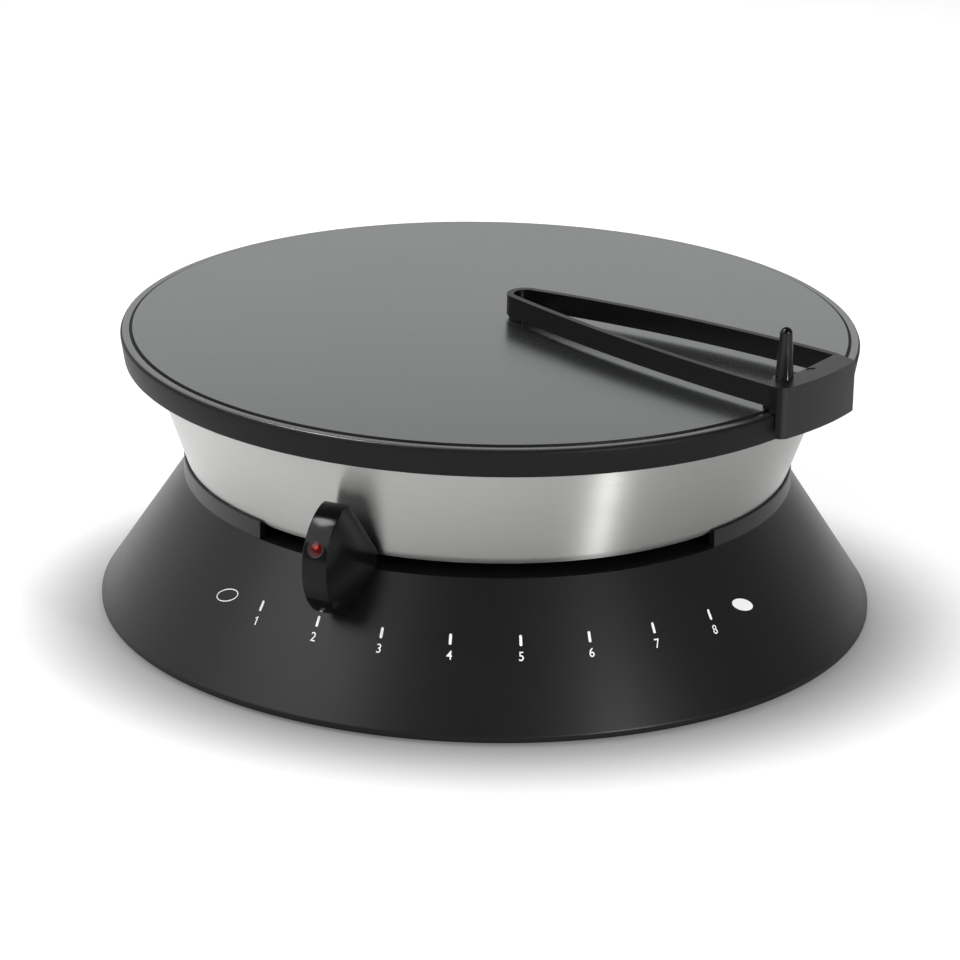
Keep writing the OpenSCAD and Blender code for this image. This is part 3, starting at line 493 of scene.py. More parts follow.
@dataclass(frozen=True)
class OxidisedSheath(Finish):
    """Steel sheath of the heater, darkened and spotted by heat."""

    def build(self) -> bpy.types.Material:
        """Makes the dull sheath."""
        sh = Shader(self.slot)
        cloud = sh.noise(45.0, 4.0)
        fine = sh.noise(1100.0, 3.0)
        return sh.surface(
            {
                "Base Color": sh.tint(cloud, self.color, 0.6, 1.6),
                "Metallic": 0.6,
                "Roughness": self.roughness + (cloud - 0.5) * 0.3,
                "Normal": sh.bump(fine, 0.03),
            }
        )


@dataclass(frozen=True)
class Fibrous(Finish):
    """Pressed wool, braid or unglazed ceramic: matte with a soft uneven surface."""

    fibre: float = 1400.0
    fibre_mm: float = 0.15
    spread: float = 0.2

    def build(self) -> bpy.types.Material:
        """Makes the matte surface from fibres at two scales."""
        sh = Shader(self.slot)
        x, y, z = sh.place()
        along = sh.vector(x * self.fibre, y * self.fibre * 0.2, z * self.fibre)
        strands = sh.noise(1.0, 4.0, along)
        lump = sh.noise(60.0, 3.0)
        tone = strands * 0.6 + lump * 0.4
        return sh.surface(
            {
                "Base Color": sh.tint(tone, self.color, 1 - self.spread, 1 + self.spread),
                "Roughness": self.roughness + (tone - 0.5) * 0.1,
                "Normal": sh.bump(tone, self.fibre_mm),
            }
        )


@dataclass(frozen=True)
class LampLens(Finish):
    """Clear red lens with a darker rim, lit a little from inside."""

    centre: tuple[float, float, float] = (0.0, 0.0, 0.0)
    shift: tuple[float, float, float] = (0.5, -0.2, 0.9)
    radius: float = 1.9

    def build(self) -> bpy.types.Material:
        """Makes the lens; the glow fades from its centre to its rim."""
        sh = Shader(self.slot)
        x, y, z = sh.place()
        dx, dy, dz = (
            v - (c + d) * MM for v, c, d in zip((x, y, z), self.centre, self.shift)
        )
        away = (dx * dx + dy * dy + dz * dz) ** 0.5
        glow = 1 - away.ramp(0.1 * self.radius * MM, self.radius * MM)
        facet = sh.noise(900.0, 1.0)
        lit = glow * glow * (0.4 + facet.ramp(0.35, 0.7))
        return sh.surface(
            {
                "Base Color": sh.tint(lit, self.color, 0.25, 1.0),
                "Roughness": self.roughness,
                "Specular IOR Level": 0.3,
                "Emission Color": sh.blend(lit, (0.02, 0.0, 0.0), (0.62, 0.02, 0.02)),
                "Emission Strength": 1.0,
                "Normal": sh.bump(facet, 0.06),
            }
        )


@dataclass(frozen=True)
class LampGlass(Finish):
    """Glass of the small lamp behind the lens."""

    def build(self) -> bpy.types.Material:
        """Makes the tinted glass with a warm core."""
        sh = Shader(self.slot)
        haze = sh.noise(500.0, 2.0)
        return sh.surface(
            {
                "Base Color": sh.tint(haze, self.color, 0.9, 1.0),
                "Roughness": self.roughness + haze * 0.05,
                "Alpha": 0.5,
                "Coat Weight": 1.0,
            }
        )


@dataclass(frozen=True)
class PrintInk(Finish):
    """Pad-printed ink with slightly uneven cover."""

    def build(self) -> bpy.types.Material:
        """Makes the ink."""
        sh = Shader(self.slot)
        cover = sh.noise(1800.0, 3.0)
        return sh.surface(
            {
                "Base Color": sh.tint(cover, self.color, 0.92, 1.0),
                "Roughness": self.roughness + (cover - 0.5) * 0.1,
                "Normal": sh.bump(cover, 0.004),
            }
        )


class FinishShop:
    """Builds each finish once and hands out its material by slot."""

    def __init__(self, finishes: Sequence[Finish]) -> None:
        """Keeps the finishes by slot."""
        self.finishes = {finish.slot: finish for finish in finishes}
        self.materials: dict[str, bpy.types.Material] = {}

    def material(self, slot: str) -> bpy.types.Material:
        """Material of a slot, built at its first use."""
        if slot not in self.materials:
            self.materials[slot] = self.finishes[slot].build()
        return self.materials[slot]

    def dress_node(self, node: str, slot: str) -> None:
        """Gives a carried-over CAD node the material of a slot."""
        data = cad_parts[node].data
        data.materials.clear()
        data.materials.append(self.material(slot))
        log.info("node %s: %s", node, slot)


# ---------------------------------------------------------------------------------------
# Mesh making
# ---------------------------------------------------------------------------------------


def polar(radius: float, azimuth: float) -> Point2:
    """Plan point at a radius and azimuth."""
    a = math.radians(azimuth)
    return radius * math.sin(a), -radius * math.cos(a)


def arc(
    cx: float, cy: float, radius: float, start: float, end: float, steps: int
) -> list[Point2]:
    """Points of an arc.

    Args:
        cx: Centre, first coordinate.
        cy: Centre, second coordinate.
        radius: Radius of the arc.
        start: First angle in degrees, from the first axis towards the second.
        end: Last angle in degrees.
        steps: Number of chords.

    Returns:
        The points, one more than the chords.
    """
    angles = (math.radians(start + (end - start) * i / steps) for i in range(steps + 1))
    return [(cx + radius * math.cos(t), cy + radius * math.sin(t)) for t in angles]


def filleted(corners: Sequence[tuple[float, float, float]], steps: int = 4) -> list[Point2]:
    """Closed outline with rounded corners.

    Args:
        corners: x, y and rounding of each corner; 0 leaves it sharp.
        steps: Chords in each rounding.

    Returns:
        The outline's points.
    """
    out: list[Point2] = []
    count = len(corners)
    for i, (x, y, radius) in enumerate(corners):
        here = Vector((x, y))
        back = Vector(corners[i - 1][:2]) - here
        on = Vector(corners[(i + 1) % count][:2]) - here
        if radius <= 0 or back.length < 1e-6 or on.length < 1e-6:
            out.append((x, y))
            continue
        half = back.angle(on) / 2
        if half > math.radians(89):
            out.append((x, y))
            continue
        run = min(radius / math.tan(half), 0.49 * back.length, 0.49 * on.length)
        true_r = run * math.tan(half)
        start, end = here + back.normalized() * run, here + on.normalized() * run
        middle = (back.normalized() + on.normalized()).normalized()
        centre = here + middle * true_r / math.sin(half)
        for k in range(steps + 1):
            spot = start.lerp(end, k / steps) - centre
            out.append(tuple(centre + spot.normalized() * true_r))
    return out


def bowed(start: Point2, end: Point2, sag: float, steps: int) -> list[Point2]:
    """Arc from start to end that bows by sag to the right of the way.

    Args:
        start: First point.
        end: Last point.
        sag: Height of the bow over its chord.
        steps: Number of chords.

    Returns:
        The arc's points.
    """
    p, q = Vector(start), Vector(end)
    span = (q - p).length
    radius = (span * span / 4 + sag * sag) / (2 * sag)
    along = (q - p) / span
    out = Vector((along.y, -along.x))
    centre = (p + q) / 2 - out * (radius - sag)
    half = math.asin(span / 2 / radius)
    turns = (half * (2 * i / steps - 1) for i in range(steps + 1))
    return [tuple(centre + (along * math.sin(t) + out * math.cos(t)) * radius) for t in turns]


def placed(name: str, data: bpy.types.ID) -> bpy.types.Object:
    """Makes an object of the data and links it to the scene."""
    obj = bpy.data.objects.new(name, data)
    bpy.context.scene.collection.objects.link(obj)
    return obj


class Form:
    """A mesh in millimetres that becomes an object in metres."""

    def __init__(self) -> None:
        """Starts with no faces."""
        self.bm = bmesh.new()

    @classmethod
    def revolved(
        cls,
        outline: Sequence[Point2],
        azimuths: Sequence[float] | int = 256,
        shape: Callable[[float, float, float], Point2] | None = None,
    ) -> "Form":
        """Turns a closed outline of radius and height round the Z axis.

        Args:
            outline: Points of radius and height.
            azimuths: Azimuths of the columns, or how many even ones.
            shape: Gives a column's own radius and height for azimuth, radius and height.

        Returns:
            The form.
        """
        if isinstance(azimuths, int):
            azimuths = [360 * i / azimuths for i in range(azimuths)]
        form = cls()
        columns = []
        for azimuth in azimuths:
            column = []
            for r, z in outline:
                if shape:
                    r, z = shape(azimuth, r, z)
                column.append(form.bm.verts.new((*polar(r, azimuth), z)))
            columns.append(column)
        rows = len(outline)
        for i, column in enumerate(columns):
            following = columns[(i + 1) % len(columns)]
            for j in range(rows):
                k = (j + 1) % rows
                form.bm.faces.new((column[j], following[j], following[k], column[k]))
        return form.cleaned()

    @classmethod
    def prism(cls, outline: Sequence[Point2], low: float, high: float) -> "Form":
        """Raises a closed plan outline from low to high."""
        form = cls()
        rings = [[form.bm.verts.new((x, y, z)) for x, y in outline] for z in (low, high)]
        count = len(outline)
        for i in range(count):
            k = (i + 1) % count
            form.bm.faces.new((rings[0][i], rings[0][k], rings[1][k], rings[1][i]))
        form.bm.faces.new(rings[0])
        form.bm.faces.new(rings[1])
        return form.cleaned()

    @classmethod
    def hull(cls, points: Sequence[tuple[float, float, float]]) -> "Form":
        """Convex form round the points, with its flat faces joined."""
        form = cls()
        for point in points:
            form.bm.verts.new(point)
        bmesh.ops.convex_hull(form.bm, input=form.bm.verts)
        loose = [v for v in form.bm.verts if not v.link_faces]
        bmesh.ops.delete(form.bm, geom=loose, context="VERTS")
        bmesh.ops.dissolve_limit(
            form.bm,
            angle_limit=math.radians(0.6),
            verts=form.bm.verts,
            edges=form.bm.edges,
        )
        return form.cleaned()

    def add(self, other: "Form") -> "Form":
        """Takes in another form's faces as they are, and returns this form."""
        keep = bpy.data.meshes.new("joined")
        other.bm.to_mesh(keep)
        self.bm.from_mesh(keep)
        bpy.data.meshes.remove(keep)
        return self

    def cleaned(self) -> "Form":
        """Merges doubles, drops empty faces and turns the faces outwards."""
        bmesh.ops.remove_doubles(self.bm, verts=self.bm.verts, dist=1e-4)
        bmesh.ops.dissolve_degenerate(self.bm, edges=self.bm.edges, dist=1e-5)
        bmesh.ops.recalc_face_normals(self.bm, faces=self.bm.faces)
        if self.bm.calc_volume(signed=True) < 0:
            bmesh.ops.reverse_faces(self.bm, faces=self.bm.faces)
        return self

    def moved(self, matrix: Matrix) -> "Form":
        """Moves the form by a matrix in millimetres, and returns it."""
        bmesh.ops.transform(self.bm, matrix=matrix, verts=self.bm.verts)
        return self

    def to_object(self, name: str) -> bpy.types.Object:
        """Ends the form as an object in metres with its origin at the frame's."""
        bmesh.ops.scale(self.bm, vec=(MM, MM, MM), verts=self.bm.verts)
        data = bpy.data.meshes.new(name)
        self.bm.to_mesh(data)
        self.bm.free()
        return placed(name, data)


def bake_modifiers(obj: bpy.types.Object) -> bpy.types.Object:
    """Applies every modifier of an object to its mesh, and returns the object."""
    graph = bpy.context.evaluated_depsgraph_get()
    made = bpy.data.meshes.new_from_object(obj.evaluated_get(graph))
    obj.modifiers.clear()
    old, obj.data = obj.data, made
    made.name = obj.name
    bpy.data.meshes.remove(old)
    return obj


def combined(obj: bpy.types.Object, other: bpy.types.Object, way: Merge) -> bpy.types.Object:
    """Joins or cuts an object with another, which is used up.

    Args:
        obj: Object that is changed.
        other: Object that joins it or cuts it.
        way: How the two combine.

    Returns:
        The changed object.
    """
    modifier = obj.modifiers.new("combine", "BOOLEAN")
    modifier.operation = way.value
    modifier.solver = "EXACT"
    modifier.object = other
    bake_modifiers(obj)
    spent = other.data
    bpy.data.objects.remove(other)
    bpy.data.meshes.remove(spent)
    return obj


def bevelled(
    obj: bpy.types.Object, width: float, angle: float = 30.0, steps: int = 3
) -> bpy.types.Object:
    """Rounds the edges of an object that turn by more than an angle.

    Args:
        obj: Object that is changed.
        width: Width of the rounding in millimetres.
        angle: Least turn in degrees.
        steps: Chords in the rounding.

    Returns:
        The changed object.
    """
    modifier = obj.modifiers.new("round", "BEVEL")
    modifier.width = width * MM
    modifier.segments = steps
    modifier.limit_method = "ANGLE"
    modifier.angle_limit = math.radians(angle)
    modifier.miter_outer = "MITER_ARC"
    modifier.use_clamp_overlap = True
    return bake_modifiers(obj)


def smoothed(
    obj: bpy.types.Object, angle: float = 32.0, weighted: bool = False
) -> bpy.types.Object:
    """Shades an object smooth.

    Args:
        obj: Object that is changed.
        angle: Edges that turn by more, in degrees, stay sharp.
        weighted: Lets the large faces set the shading, so that flat ones look flat.

    Returns:
        The changed object.
    """
    obj.data.shade_smooth()
    obj.data.set_sharp_from_angle(angle=math.radians(angle))
    if weighted:
        modifier = obj.modifiers.new("shading", "WEIGHTED_NORMAL")
        modifier.keep_sharp = True
        modifier.weight = 100
        bake_modifiers(obj)
    return obj


def mount(
    obj: bpy.types.Object,
    body: Body,
    slot: str,
    shop: FinishShop,
    stands_for: Sequence[str] = (),
) -> bpy.types.Object:
    """Dresses a piece, hangs it on its body and hides the CAD nodes that it stands for.

    Args:
        obj: The piece.
        body: Body that it moves with.
        slot: Material slot that it takes its finish from.
        shop: Where the material comes from.
        stands_for: CAD nodes that it replaces.

    Returns:
        The piece.
    """
    obj.data.materials.clear()
    obj.data.materials.append(shop.material(slot))
    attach(obj, body.value)
    if stands_for:
        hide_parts(*stands_for)
    log.info("piece %s: %d faces, %s on %s", obj.name, len(obj.data.polygons), slot, body.value)
    return obj


class RingPattern:
    """Geometry Nodes tree that repeats a mesh round the Z axis."""

    def __init__(self) -> None:
        """Builds the tree with its named inputs."""
        tree = bpy.data.node_groups.new("ring_pattern", "GeometryNodeTree")
        face = tree.interface
        face.new_socket("Geometry", in_out="INPUT", socket_type="NodeSocketGeometry")
        self.sockets = {}
        for name, kind in (
            ("Count", "NodeSocketInt"),
            ("First azimuth", "NodeSocketFloat"),
            ("Azimuth step", "NodeSocketFloat"),
            ("Material", "NodeSocketMaterial"),
        ):
            socket = face.new_socket(name, in_out="INPUT", socket_type=kind)
            self.sockets[name] = socket.identifier
        face.new_socket("Geometry", in_out="OUTPUT", socket_type="NodeSocketGeometry")
        self.tree = tree
        source, sink = self.node("NodeGroupInput"), self.node("NodeGroupOutput")
        line = self.node("GeometryNodeMeshLine")
        line.mode = "OFFSET"
        line.inputs["Offset"].default_value = (0.0, 0.0, 0.0)
        index = self.node("GeometryNodeInputIndex")
        scaled, turned = self.node("ShaderNodeMath"), self.node("ShaderNodeMath")
        scaled.operation, turned.operation = "MULTIPLY", "ADD"
        radians = self.node("ShaderNodeMath")
        radians.operation = "RADIANS"
        spin = self.node("ShaderNodeCombineXYZ")
        copies = self.node("GeometryNodeInstanceOnPoints")
        real = self.node("GeometryNodeRealizeInstances")
        paint = self.node("GeometryNodeSetMaterial")
        for start, end in (
            (source.outputs["Count"], line.inputs["Count"]),
            (index.outputs[0], scaled.inputs[0]),
            (source.outputs["Azimuth step"], scaled.inputs[1]),
            (scaled.outputs[0], turned.inputs[0]),
            (source.outputs["First azimuth"], turned.inputs[1]),
            (turned.outputs[0], radians.inputs[0]),
            (radians.outputs[0], spin.inputs["Z"]),
            (line.outputs[0], copies.inputs["Points"]),
            (source.outputs["Geometry"], copies.inputs["Instance"]),
            (spin.outputs[0], copies.inputs["Rotation"]),
            (copies.outputs[0], real.inputs[0]),
            (real.outputs[0], paint.inputs["Geometry"]),
            (source.outputs["Material"], paint.inputs["Material"]),
            (paint.outputs[0], sink.inputs[0]),
        ):
            tree.links.new(start, end)

    def node(self, kind: str) -> bpy.types.Node:
        """Adds a node to the tree."""
        return self.tree.nodes.new(kind)

    def apply(
        self,
        obj: bpy.types.Object,
        count: int,
        first: float,
        step: float,
        material: bpy.types.Material | None = None,
    ) -> bpy.types.Object:
        """Repeats an object's mesh and keeps the result as a plain mesh.

        Args:
            obj: Object whose mesh stands at the front, azimuth 0.
            count: Number of copies.
            first: Azimuth of the first copy.
            step: Azimuth from one copy to the next.
            material: Material of the copies.

        Returns:
            The object with all copies in its mesh.
        """
        modifier = obj.modifiers.new("ring", "NODES")
        modifier.node_group = self.tree
        for name, value in (
            ("Count", count),
            ("First azimuth", float(first)),
            ("Azimuth step", float(step)),
            ("Material", material),
        ):
            modifier[self.sockets[name]] = value
        return bake_modifiers(obj)


def drum(radius: float, low: float, high: float, out: float, steps: int = 48) -> Form:
    """Plain round tool at the front, azimuth 0, for cutting and for bosses.

    Args:
        radius: Its radius.
        low: Its lower end.
        high: Its upper end.
        out: Distance of its axis from the Z axis.
        steps: Columns round it.

    Returns:
        The form.
    """
    form = Form.revolved([(0, low), (radius, low), (radius, high), (0, high)], steps)
    return form.moved(Matrix.Translation((0, -out, 0)))


# ---------------------------------------------------------------------------------------
# Sub-assemblies
# ---------------------------------------------------------------------------------------


# Places that several pieces share. A ring is its count, first azimuth and azimuth step.
STUD_CIRCLE_R = 99.0
STUD_RING = (3, 60, 120)
SCREW_CIRCLE_R = 168.05
SCREW_RING = (6, 30, 60)
FOOT_RING = (4, 45, 90)
GLAND_Z = 22.0
GLAND_FACE = 177.833


def gland_frame() -> Matrix:
    """Takes a form made round Z to the cord gland's axis at the back, in millimetres."""
    return Matrix.Translation((0, 0, GLAND_Z)) @ Matrix.Rotation(math.radians(-90), 4, "X")


@dataclass
class CookingPlate:
    """Cast plate: flat disc, low band round it, rounded rim and skirt."""

    top_z: float = 136.5
    band_z: float = 135.8
    under_z: float = 129.0
    skirt_z: float = 122.6
    boss_z: float = 120.4
    disc_r: float = 169.2
    rim_r: float = 175.0
    skirt_out_r: float = 172.8
    skirt_in_r: float = 167.8
    rim_round: float = 2.2
    groove: float = 0.35
    groove_from: float = 0.35
    groove_to: float = 0.95
    band_from: float = 1.3
    boss_r: float = 9.0
    stud_hole_r: float = 3.1
    stud_hole_z: float = 131.25

    def build(self, shop: FinishShop, ring: RingPattern) -> None:
        """Makes the plate with its bosses and stud holes."""
        groove_z = self.band_z - self.groove
        outline = filleted(
            [
                (0, self.top_z, 0),
                (self.disc_r, self.top_z, 0.3),
                (self.disc_r + self.groove_from, groove_z, 0.1),
                (self.disc_r + self.groove_to, groove_z, 0.1),
                (self.disc_r + self.band_from, self.band_z, 0.15),
                (self.rim_r, self.band_z, self.rim_round),
                (self.skirt_out_r, self.skirt_z, 0.6),
                (self.skirt_in_r, self.skirt_z, 0.5),
                (self.skirt_in_r, self.under_z, 1.2),
                (0, self.under_z, 0),
            ]
        )
        plate = Form.revolved(outline, 360).to_object("cast_plate")
        bosses = drum(self.boss_r, self.boss_z, self.under_z + 1, STUD_CIRCLE_R)
        holes = drum(self.stud_hole_r, self.boss_z - 1, self.stud_hole_z, STUD_CIRCLE_R)
        combined(plate, ring.apply(bosses.to_object("bosses"), *STUD_RING), Merge.UNION)
        combined(plate, ring.apply(holes.to_object("holes"), *STUD_RING), Merge.CUT)
        mount(smoothed(plate), Body.HOUSING, "cast_plate", shop, ["griddle_plate"])


@dataclass
class SteelBowl:
    """Brushed sheet bowl under the plate, with four round bumps near its rim."""

    floor_z: float = 69.0
    rim_z: float = 129.0
    sheet: float = 1.0
    foot_r: float = 142.2
    mouth_r: float = 163.2
    corner_r: float = 136.5
    corner_z: float = 77.0
    rounding: float = 8.0
    flange_w: float = 2.0
    bump_z: float = 119.9
    bump_r: float = 7.0
    bump_h: float = 1.5
    bump_azimuths: tuple[float, ...] = (-52.0, 52.0, 128.0, 232.0)
    shaft_hole_r: float = 5.0
    stud_hole_r: float = 3.1
    floor_holes: tuple[tuple[float, float, float], ...] = (
        (62.0, 180.0, 6.1),
        (28.0, 90.0, 2.0),
        (28.0, 270.0, 2.0),
        (58.4, 141.9, 2.0),
    )

    @property
    def lean(self) -> float:
        """Lean of the wall from upright, in radians."""
        return math.atan((self.mouth_r - self.foot_r) / (self.rim_z - self.floor_z))

    def wall_r(self, z: float) -> float:
        """Radius of the wall's outside at a height."""
        return self.foot_r + (z - self.floor_z) * (self.mouth_r - self.foot_r) / (
            self.rim_z - self.floor_z
        )

    def bump(self, azimuth: float, r: float, z: float) -> Point2:
        """Point of the wall, pushed out where a bump is."""
        lean = self.lean
        for centre in self.bump_azimuths:
            turn = (azimuth - centre + 180) % 360 - 180
            away = math.hypot(math.radians(turn) * r, (z - self.bump_z) / math.cos(lean))
            if away < self.bump_r and z > self.corner_z and r > self.corner_r + 4:
                share = (1 - (away / self.bump_r) ** 2) ** 1.15 * self.bump_h
                return r + share * math.cos(lean), z - share * math.sin(lean)
        return r, z

    def outline(self) -> list[Point2]:
        """Closed outline of the sheet."""
        lean = math.degrees(self.lean)
        wall_in = self.sheet / math.cos(self.lean)
        low = self.corner_z + 2
        heights = [low + 0.8 + i * (self.bump_z - 10 - low) / 8 for i in range(8)]
        heights += [self.bump_z - 8 + i * 0.9 for i in range(17)]
        out_arc = arc(self.corner_r, self.corner_z, self.rounding, -90, -lean, 12)
        in_arc = arc(self.corner_r, self.corner_z, self.rounding - self.sheet, -lean, -90, 12)
        flange_r = self.mouth_r + self.flange_w
        lip_z = self.rim_z - self.sheet
        outside = [(self.wall_r(z), z) for z in heights if z < lip_z - 0.3]
        inside = [(self.wall_r(z) - wall_in, z) for z in reversed(heights) if z < lip_z - 0.3]
        flange = filleted(
            [
                (self.wall_r(lip_z - 0.2), lip_z - 0.2, 0),
                (self.wall_r(lip_z), lip_z, 0.2),
                (flange_r, lip_z, 0.3),
                (flange_r, self.rim_z, 0.3),
                (self.mouth_r - wall_in, self.rim_z, 0.4),
                (self.wall_r(lip_z) - wall_in, lip_z - 0.2, 0),
            ]
        )
        return [
            (0, self.floor_z),
            *out_arc,
            *outside,
            *flange,
            *inside,
            *in_arc,
            (0, self.floor_z + self.sheet),
        ]

    def build(self, shop: FinishShop, ring: RingPattern) -> None:
        """Makes the bowl and the holes in its floor."""
        azimuths = {float(a) for a in range(360)}
        for centre in self.bump_azimuths:
            azimuths |= {round((centre - 3.2 + 0.2 * i) % 360, 3) for i in range(33)}
        bowl = Form.revolved(self.outline(), sorted(azimuths), self.bump).to_object("steel_bowl")
        low, high = self.floor_z - 1, self.floor_z + self.sheet + 1
        holes = drum(self.shaft_hole_r, low, high, 0.0)
        for out, turn, radius in self.floor_holes:
            spin = Matrix.Rotation(math.radians(turn), 4, "Z")
            holes.add(drum(radius, low, high, out, 32).moved(spin))
        combined(bowl, holes.to_object("floor_holes"), Merge.CUT)
        studs = drum(self.stud_hole_r, low, high, STUD_CIRCLE_R).to_object("stud_holes")
        combined(bowl, ring.apply(studs, *STUD_RING), Merge.CUT)
        mount(smoothed(bowl), Body.HOUSING, "brushed_bowl", shop, ["bowl_shell"])


@dataclass
class BaseHousing:
    """Flared base with a collar round the bowl and a slot for the lever."""

    base_z: float = 2.0
    edge_r: float = 184.85
    wall: float = 3.0
    cone_z: float = 4.8
    lip_round: float = 1.5
    crease_r: float = 145.83
    crease_z: float = 63.6
    collar_r: float = 145.03
    collar_z: float = 73.0
    deck_z: float = 63.8
    deck_low_z: float = 60.8
    bush_r: float = 14.15
    corner_r: float = 136.5
    corner_z: float = 77.0
    lip_r: float = 8.35
    slot_half: float = 45.5
    slot_z: float = 64.6
    slot_edge: float = 0.5
    bowl_z: float = 69.0
    floor_z: float = 5.0
    crease_round: float = 3.0
    gland_boss: tuple[float, float] = (10.0, 165.032)
    rib: tuple[float, float] = (130.0, 3.0)
    rib_first: float = 60.0
    stud_boss_r: float = 8.0
    stud_hole_r: float = 3.3
    screw_boss_r: float = 5.0
    screw_boss_z: float = 33.42
    screw_hole_r: float = 2.0
    screw_hole_deep: float = 10.0
    lead_hole_r: float = 6.1
    lead_hole_out: float = -62.0
    gland_hole: tuple[float, float] = (6.1, 150.0)
    gland_recess: tuple[float, float] = (8.1, 190.0)

    @property
    def slope(self) -> float:
        """Distance in for each millimetre up the cone."""
        return (self.edge_r - self.crease_r) / (self.crease_z - self.cone_z)

    def cone_r(self, z: float) -> float:
        """Radius of the cone's outside at a height."""
        return self.crease_r + (self.crease_z - z) * self.slope

    @property
    def collar_foot_z(self) -> float:
        """Height where the cone meets the collar."""
        return self.crease_z + (self.crease_r - self.collar_r) / self.slope

    def outline(self) -> list[Point2]:
        """Closed outline of the wall, collar and deck."""
        thick = self.wall / math.cos(math.atan(self.slope))
        start = math.degrees(math.asin((self.collar_z - self.corner_z) / self.lip_r))
        lip = arc(self.corner_r, self.corner_z, self.lip_r, start, -50, 5)
        corners = [
            (self.edge_r - self.wall, self.base_z, 0.3),
            (self.edge_r, self.base_z, 0.5),
            (self.edge_r, self.cone_z, self.lip_round),
            (self.cone_r(self.slot_z - self.slot_edge), self.slot_z - self.slot_edge, 0),
            (self.collar_r, self.collar_foot_z, self.crease_round),
            (self.collar_r, self.collar_z, 0.4),
            (*lip[0], 0.25),
            *[(x, z, 0) for x, z in lip[1:]],
            (lip[-1][0], self.deck_z, 0),
            (self.bush_r, self.deck_z, 0),
            (self.bush_r, self.deck_low_z, 0),
            (self.cone_r(self.deck_low_z) - thick, self.deck_low_z, 1.0),
            (self.edge_r - self.wall, self.cone_z, 0.5),
        ]
        return filleted(corners, 6)

    def build(self, shop: FinishShop, ring: RingPattern) -> None:
        """Makes the base with its slot, bosses and the seat of the cord gland."""
        azimuths = [float(a) for a in range(-45, 315)]
        edge = self.slot_half
        azimuths += [-edge, -edge - 1e-4, edge, edge + 1e-4]
        shell = Form.revolved(
            self.outline(),
            sorted(azimuths, key=lambda a: a if a >= -180 else a + 360),
            self.slotted,
        ).to_object("base_housing")
        self.add_bosses(shell, ring)
        self.cut_holes(shell, ring)
        mount(smoothed(shell, 24), Body.HOUSING, "base_plastic", shop, ["base_shell"])

    def slotted(self, azimuth: float, r: float, z: float) -> Point2:
        """Point of the outline, brought down to the slot's edge where the slot is."""
        turn = (azimuth + 180) % 360 - 180
        if abs(turn) <= self.slot_half and r > self.corner_r and z > self.slot_z:
            return min(r, self.cone_r(self.slot_z) - self.slot_edge), self.slot_z
        return r, z

    def add_bosses(self, shell: bpy.types.Object, ring: RingPattern) -> None:
        """Joins the stud bosses, the screw bosses and the gland's boss to the shell."""
        studs = drum(self.stud_boss_r, self.deck_low_z, self.bowl_z, STUD_CIRCLE_R)
        combined(shell, ring.apply(studs.to_object("stud_bosses"), *STUD_RING), Merge.UNION)
        posts = drum(self.screw_boss_r, self.floor_z, self.screw_boss_z, SCREW_CIRCLE_R)
        posts_obj = ring.apply(posts.to_object("screw_bosses"), *SCREW_RING)
        rib_r, rib_w = self.rib
        first = self.rib_first
        arms = [polar(rib_r, first + 2 * i) for i in range(121)]
        arms += [polar(rib_r + rib_w, first + 240 - 2 * i) for i in range(121)]
        rib = Form.prism(arms, self.deck_z - 1, self.bowl_z)
        combined(shell, rib.to_object("support_rib"), Merge.UNION)
        boss_r, boss_in = self.gland_boss
        boss = Form.revolved(
            [(0, boss_in), (boss_r, boss_in), (boss_r, GLAND_FACE), (0, GLAND_FACE)], 64
        ).moved(gland_frame())
        combined(shell, boss.to_object("gland_boss"), Merge.UNION)
        keep = Form.revolved(
            [
                (0, self.floor_z),
                (self.cone_r(self.floor_z) - self.wall / 2, self.floor_z),
                (self.cone_r(self.deck_z) - self.wall / 2, self.deck_z),
                (0, self.deck_z),
            ],
            180,
        )
        combined(posts_obj, keep.to_object("inside"), Merge.KEEP)
        combined(shell, posts_obj, Merge.UNION)

    def cut_holes(self, shell: bpy.types.Object, ring: RingPattern) -> None:
        """Cuts the holes for studs, screws, leads and the cord gland."""
        studs = drum(self.stud_hole_r, self.deck_low_z - 1, self.bowl_z + 1, STUD_CIRCLE_R)
        combined(shell, ring.apply(studs.to_object("stud_holes"), *STUD_RING), Merge.CUT)
        top = self.floor_z + self.screw_hole_deep
        screws = drum(self.screw_hole_r, self.floor_z - 1, top, SCREW_CIRCLE_R, 32)
        combined(shell, ring.apply(screws.to_object("screw_holes"), *SCREW_RING), Merge.CUT)
        bore, start = self.gland_hole
        recess, end = self.gland_recess
        gland = Form.revolved(
            [
                (0, start),
                (bore, start),
                (bore, GLAND_FACE),
                (recess, GLAND_FACE),
                (recess, end),
                (0, end),
            ],
            64,
        ).moved(gland_frame())
        low, high = self.deck_low_z - 1, self.deck_z + 1
        gland.add(drum(self.lead_hole_r, low, high, self.lead_hole_out))
        combined(shell, gland.to_object("gland_seat"), Merge.CUT)


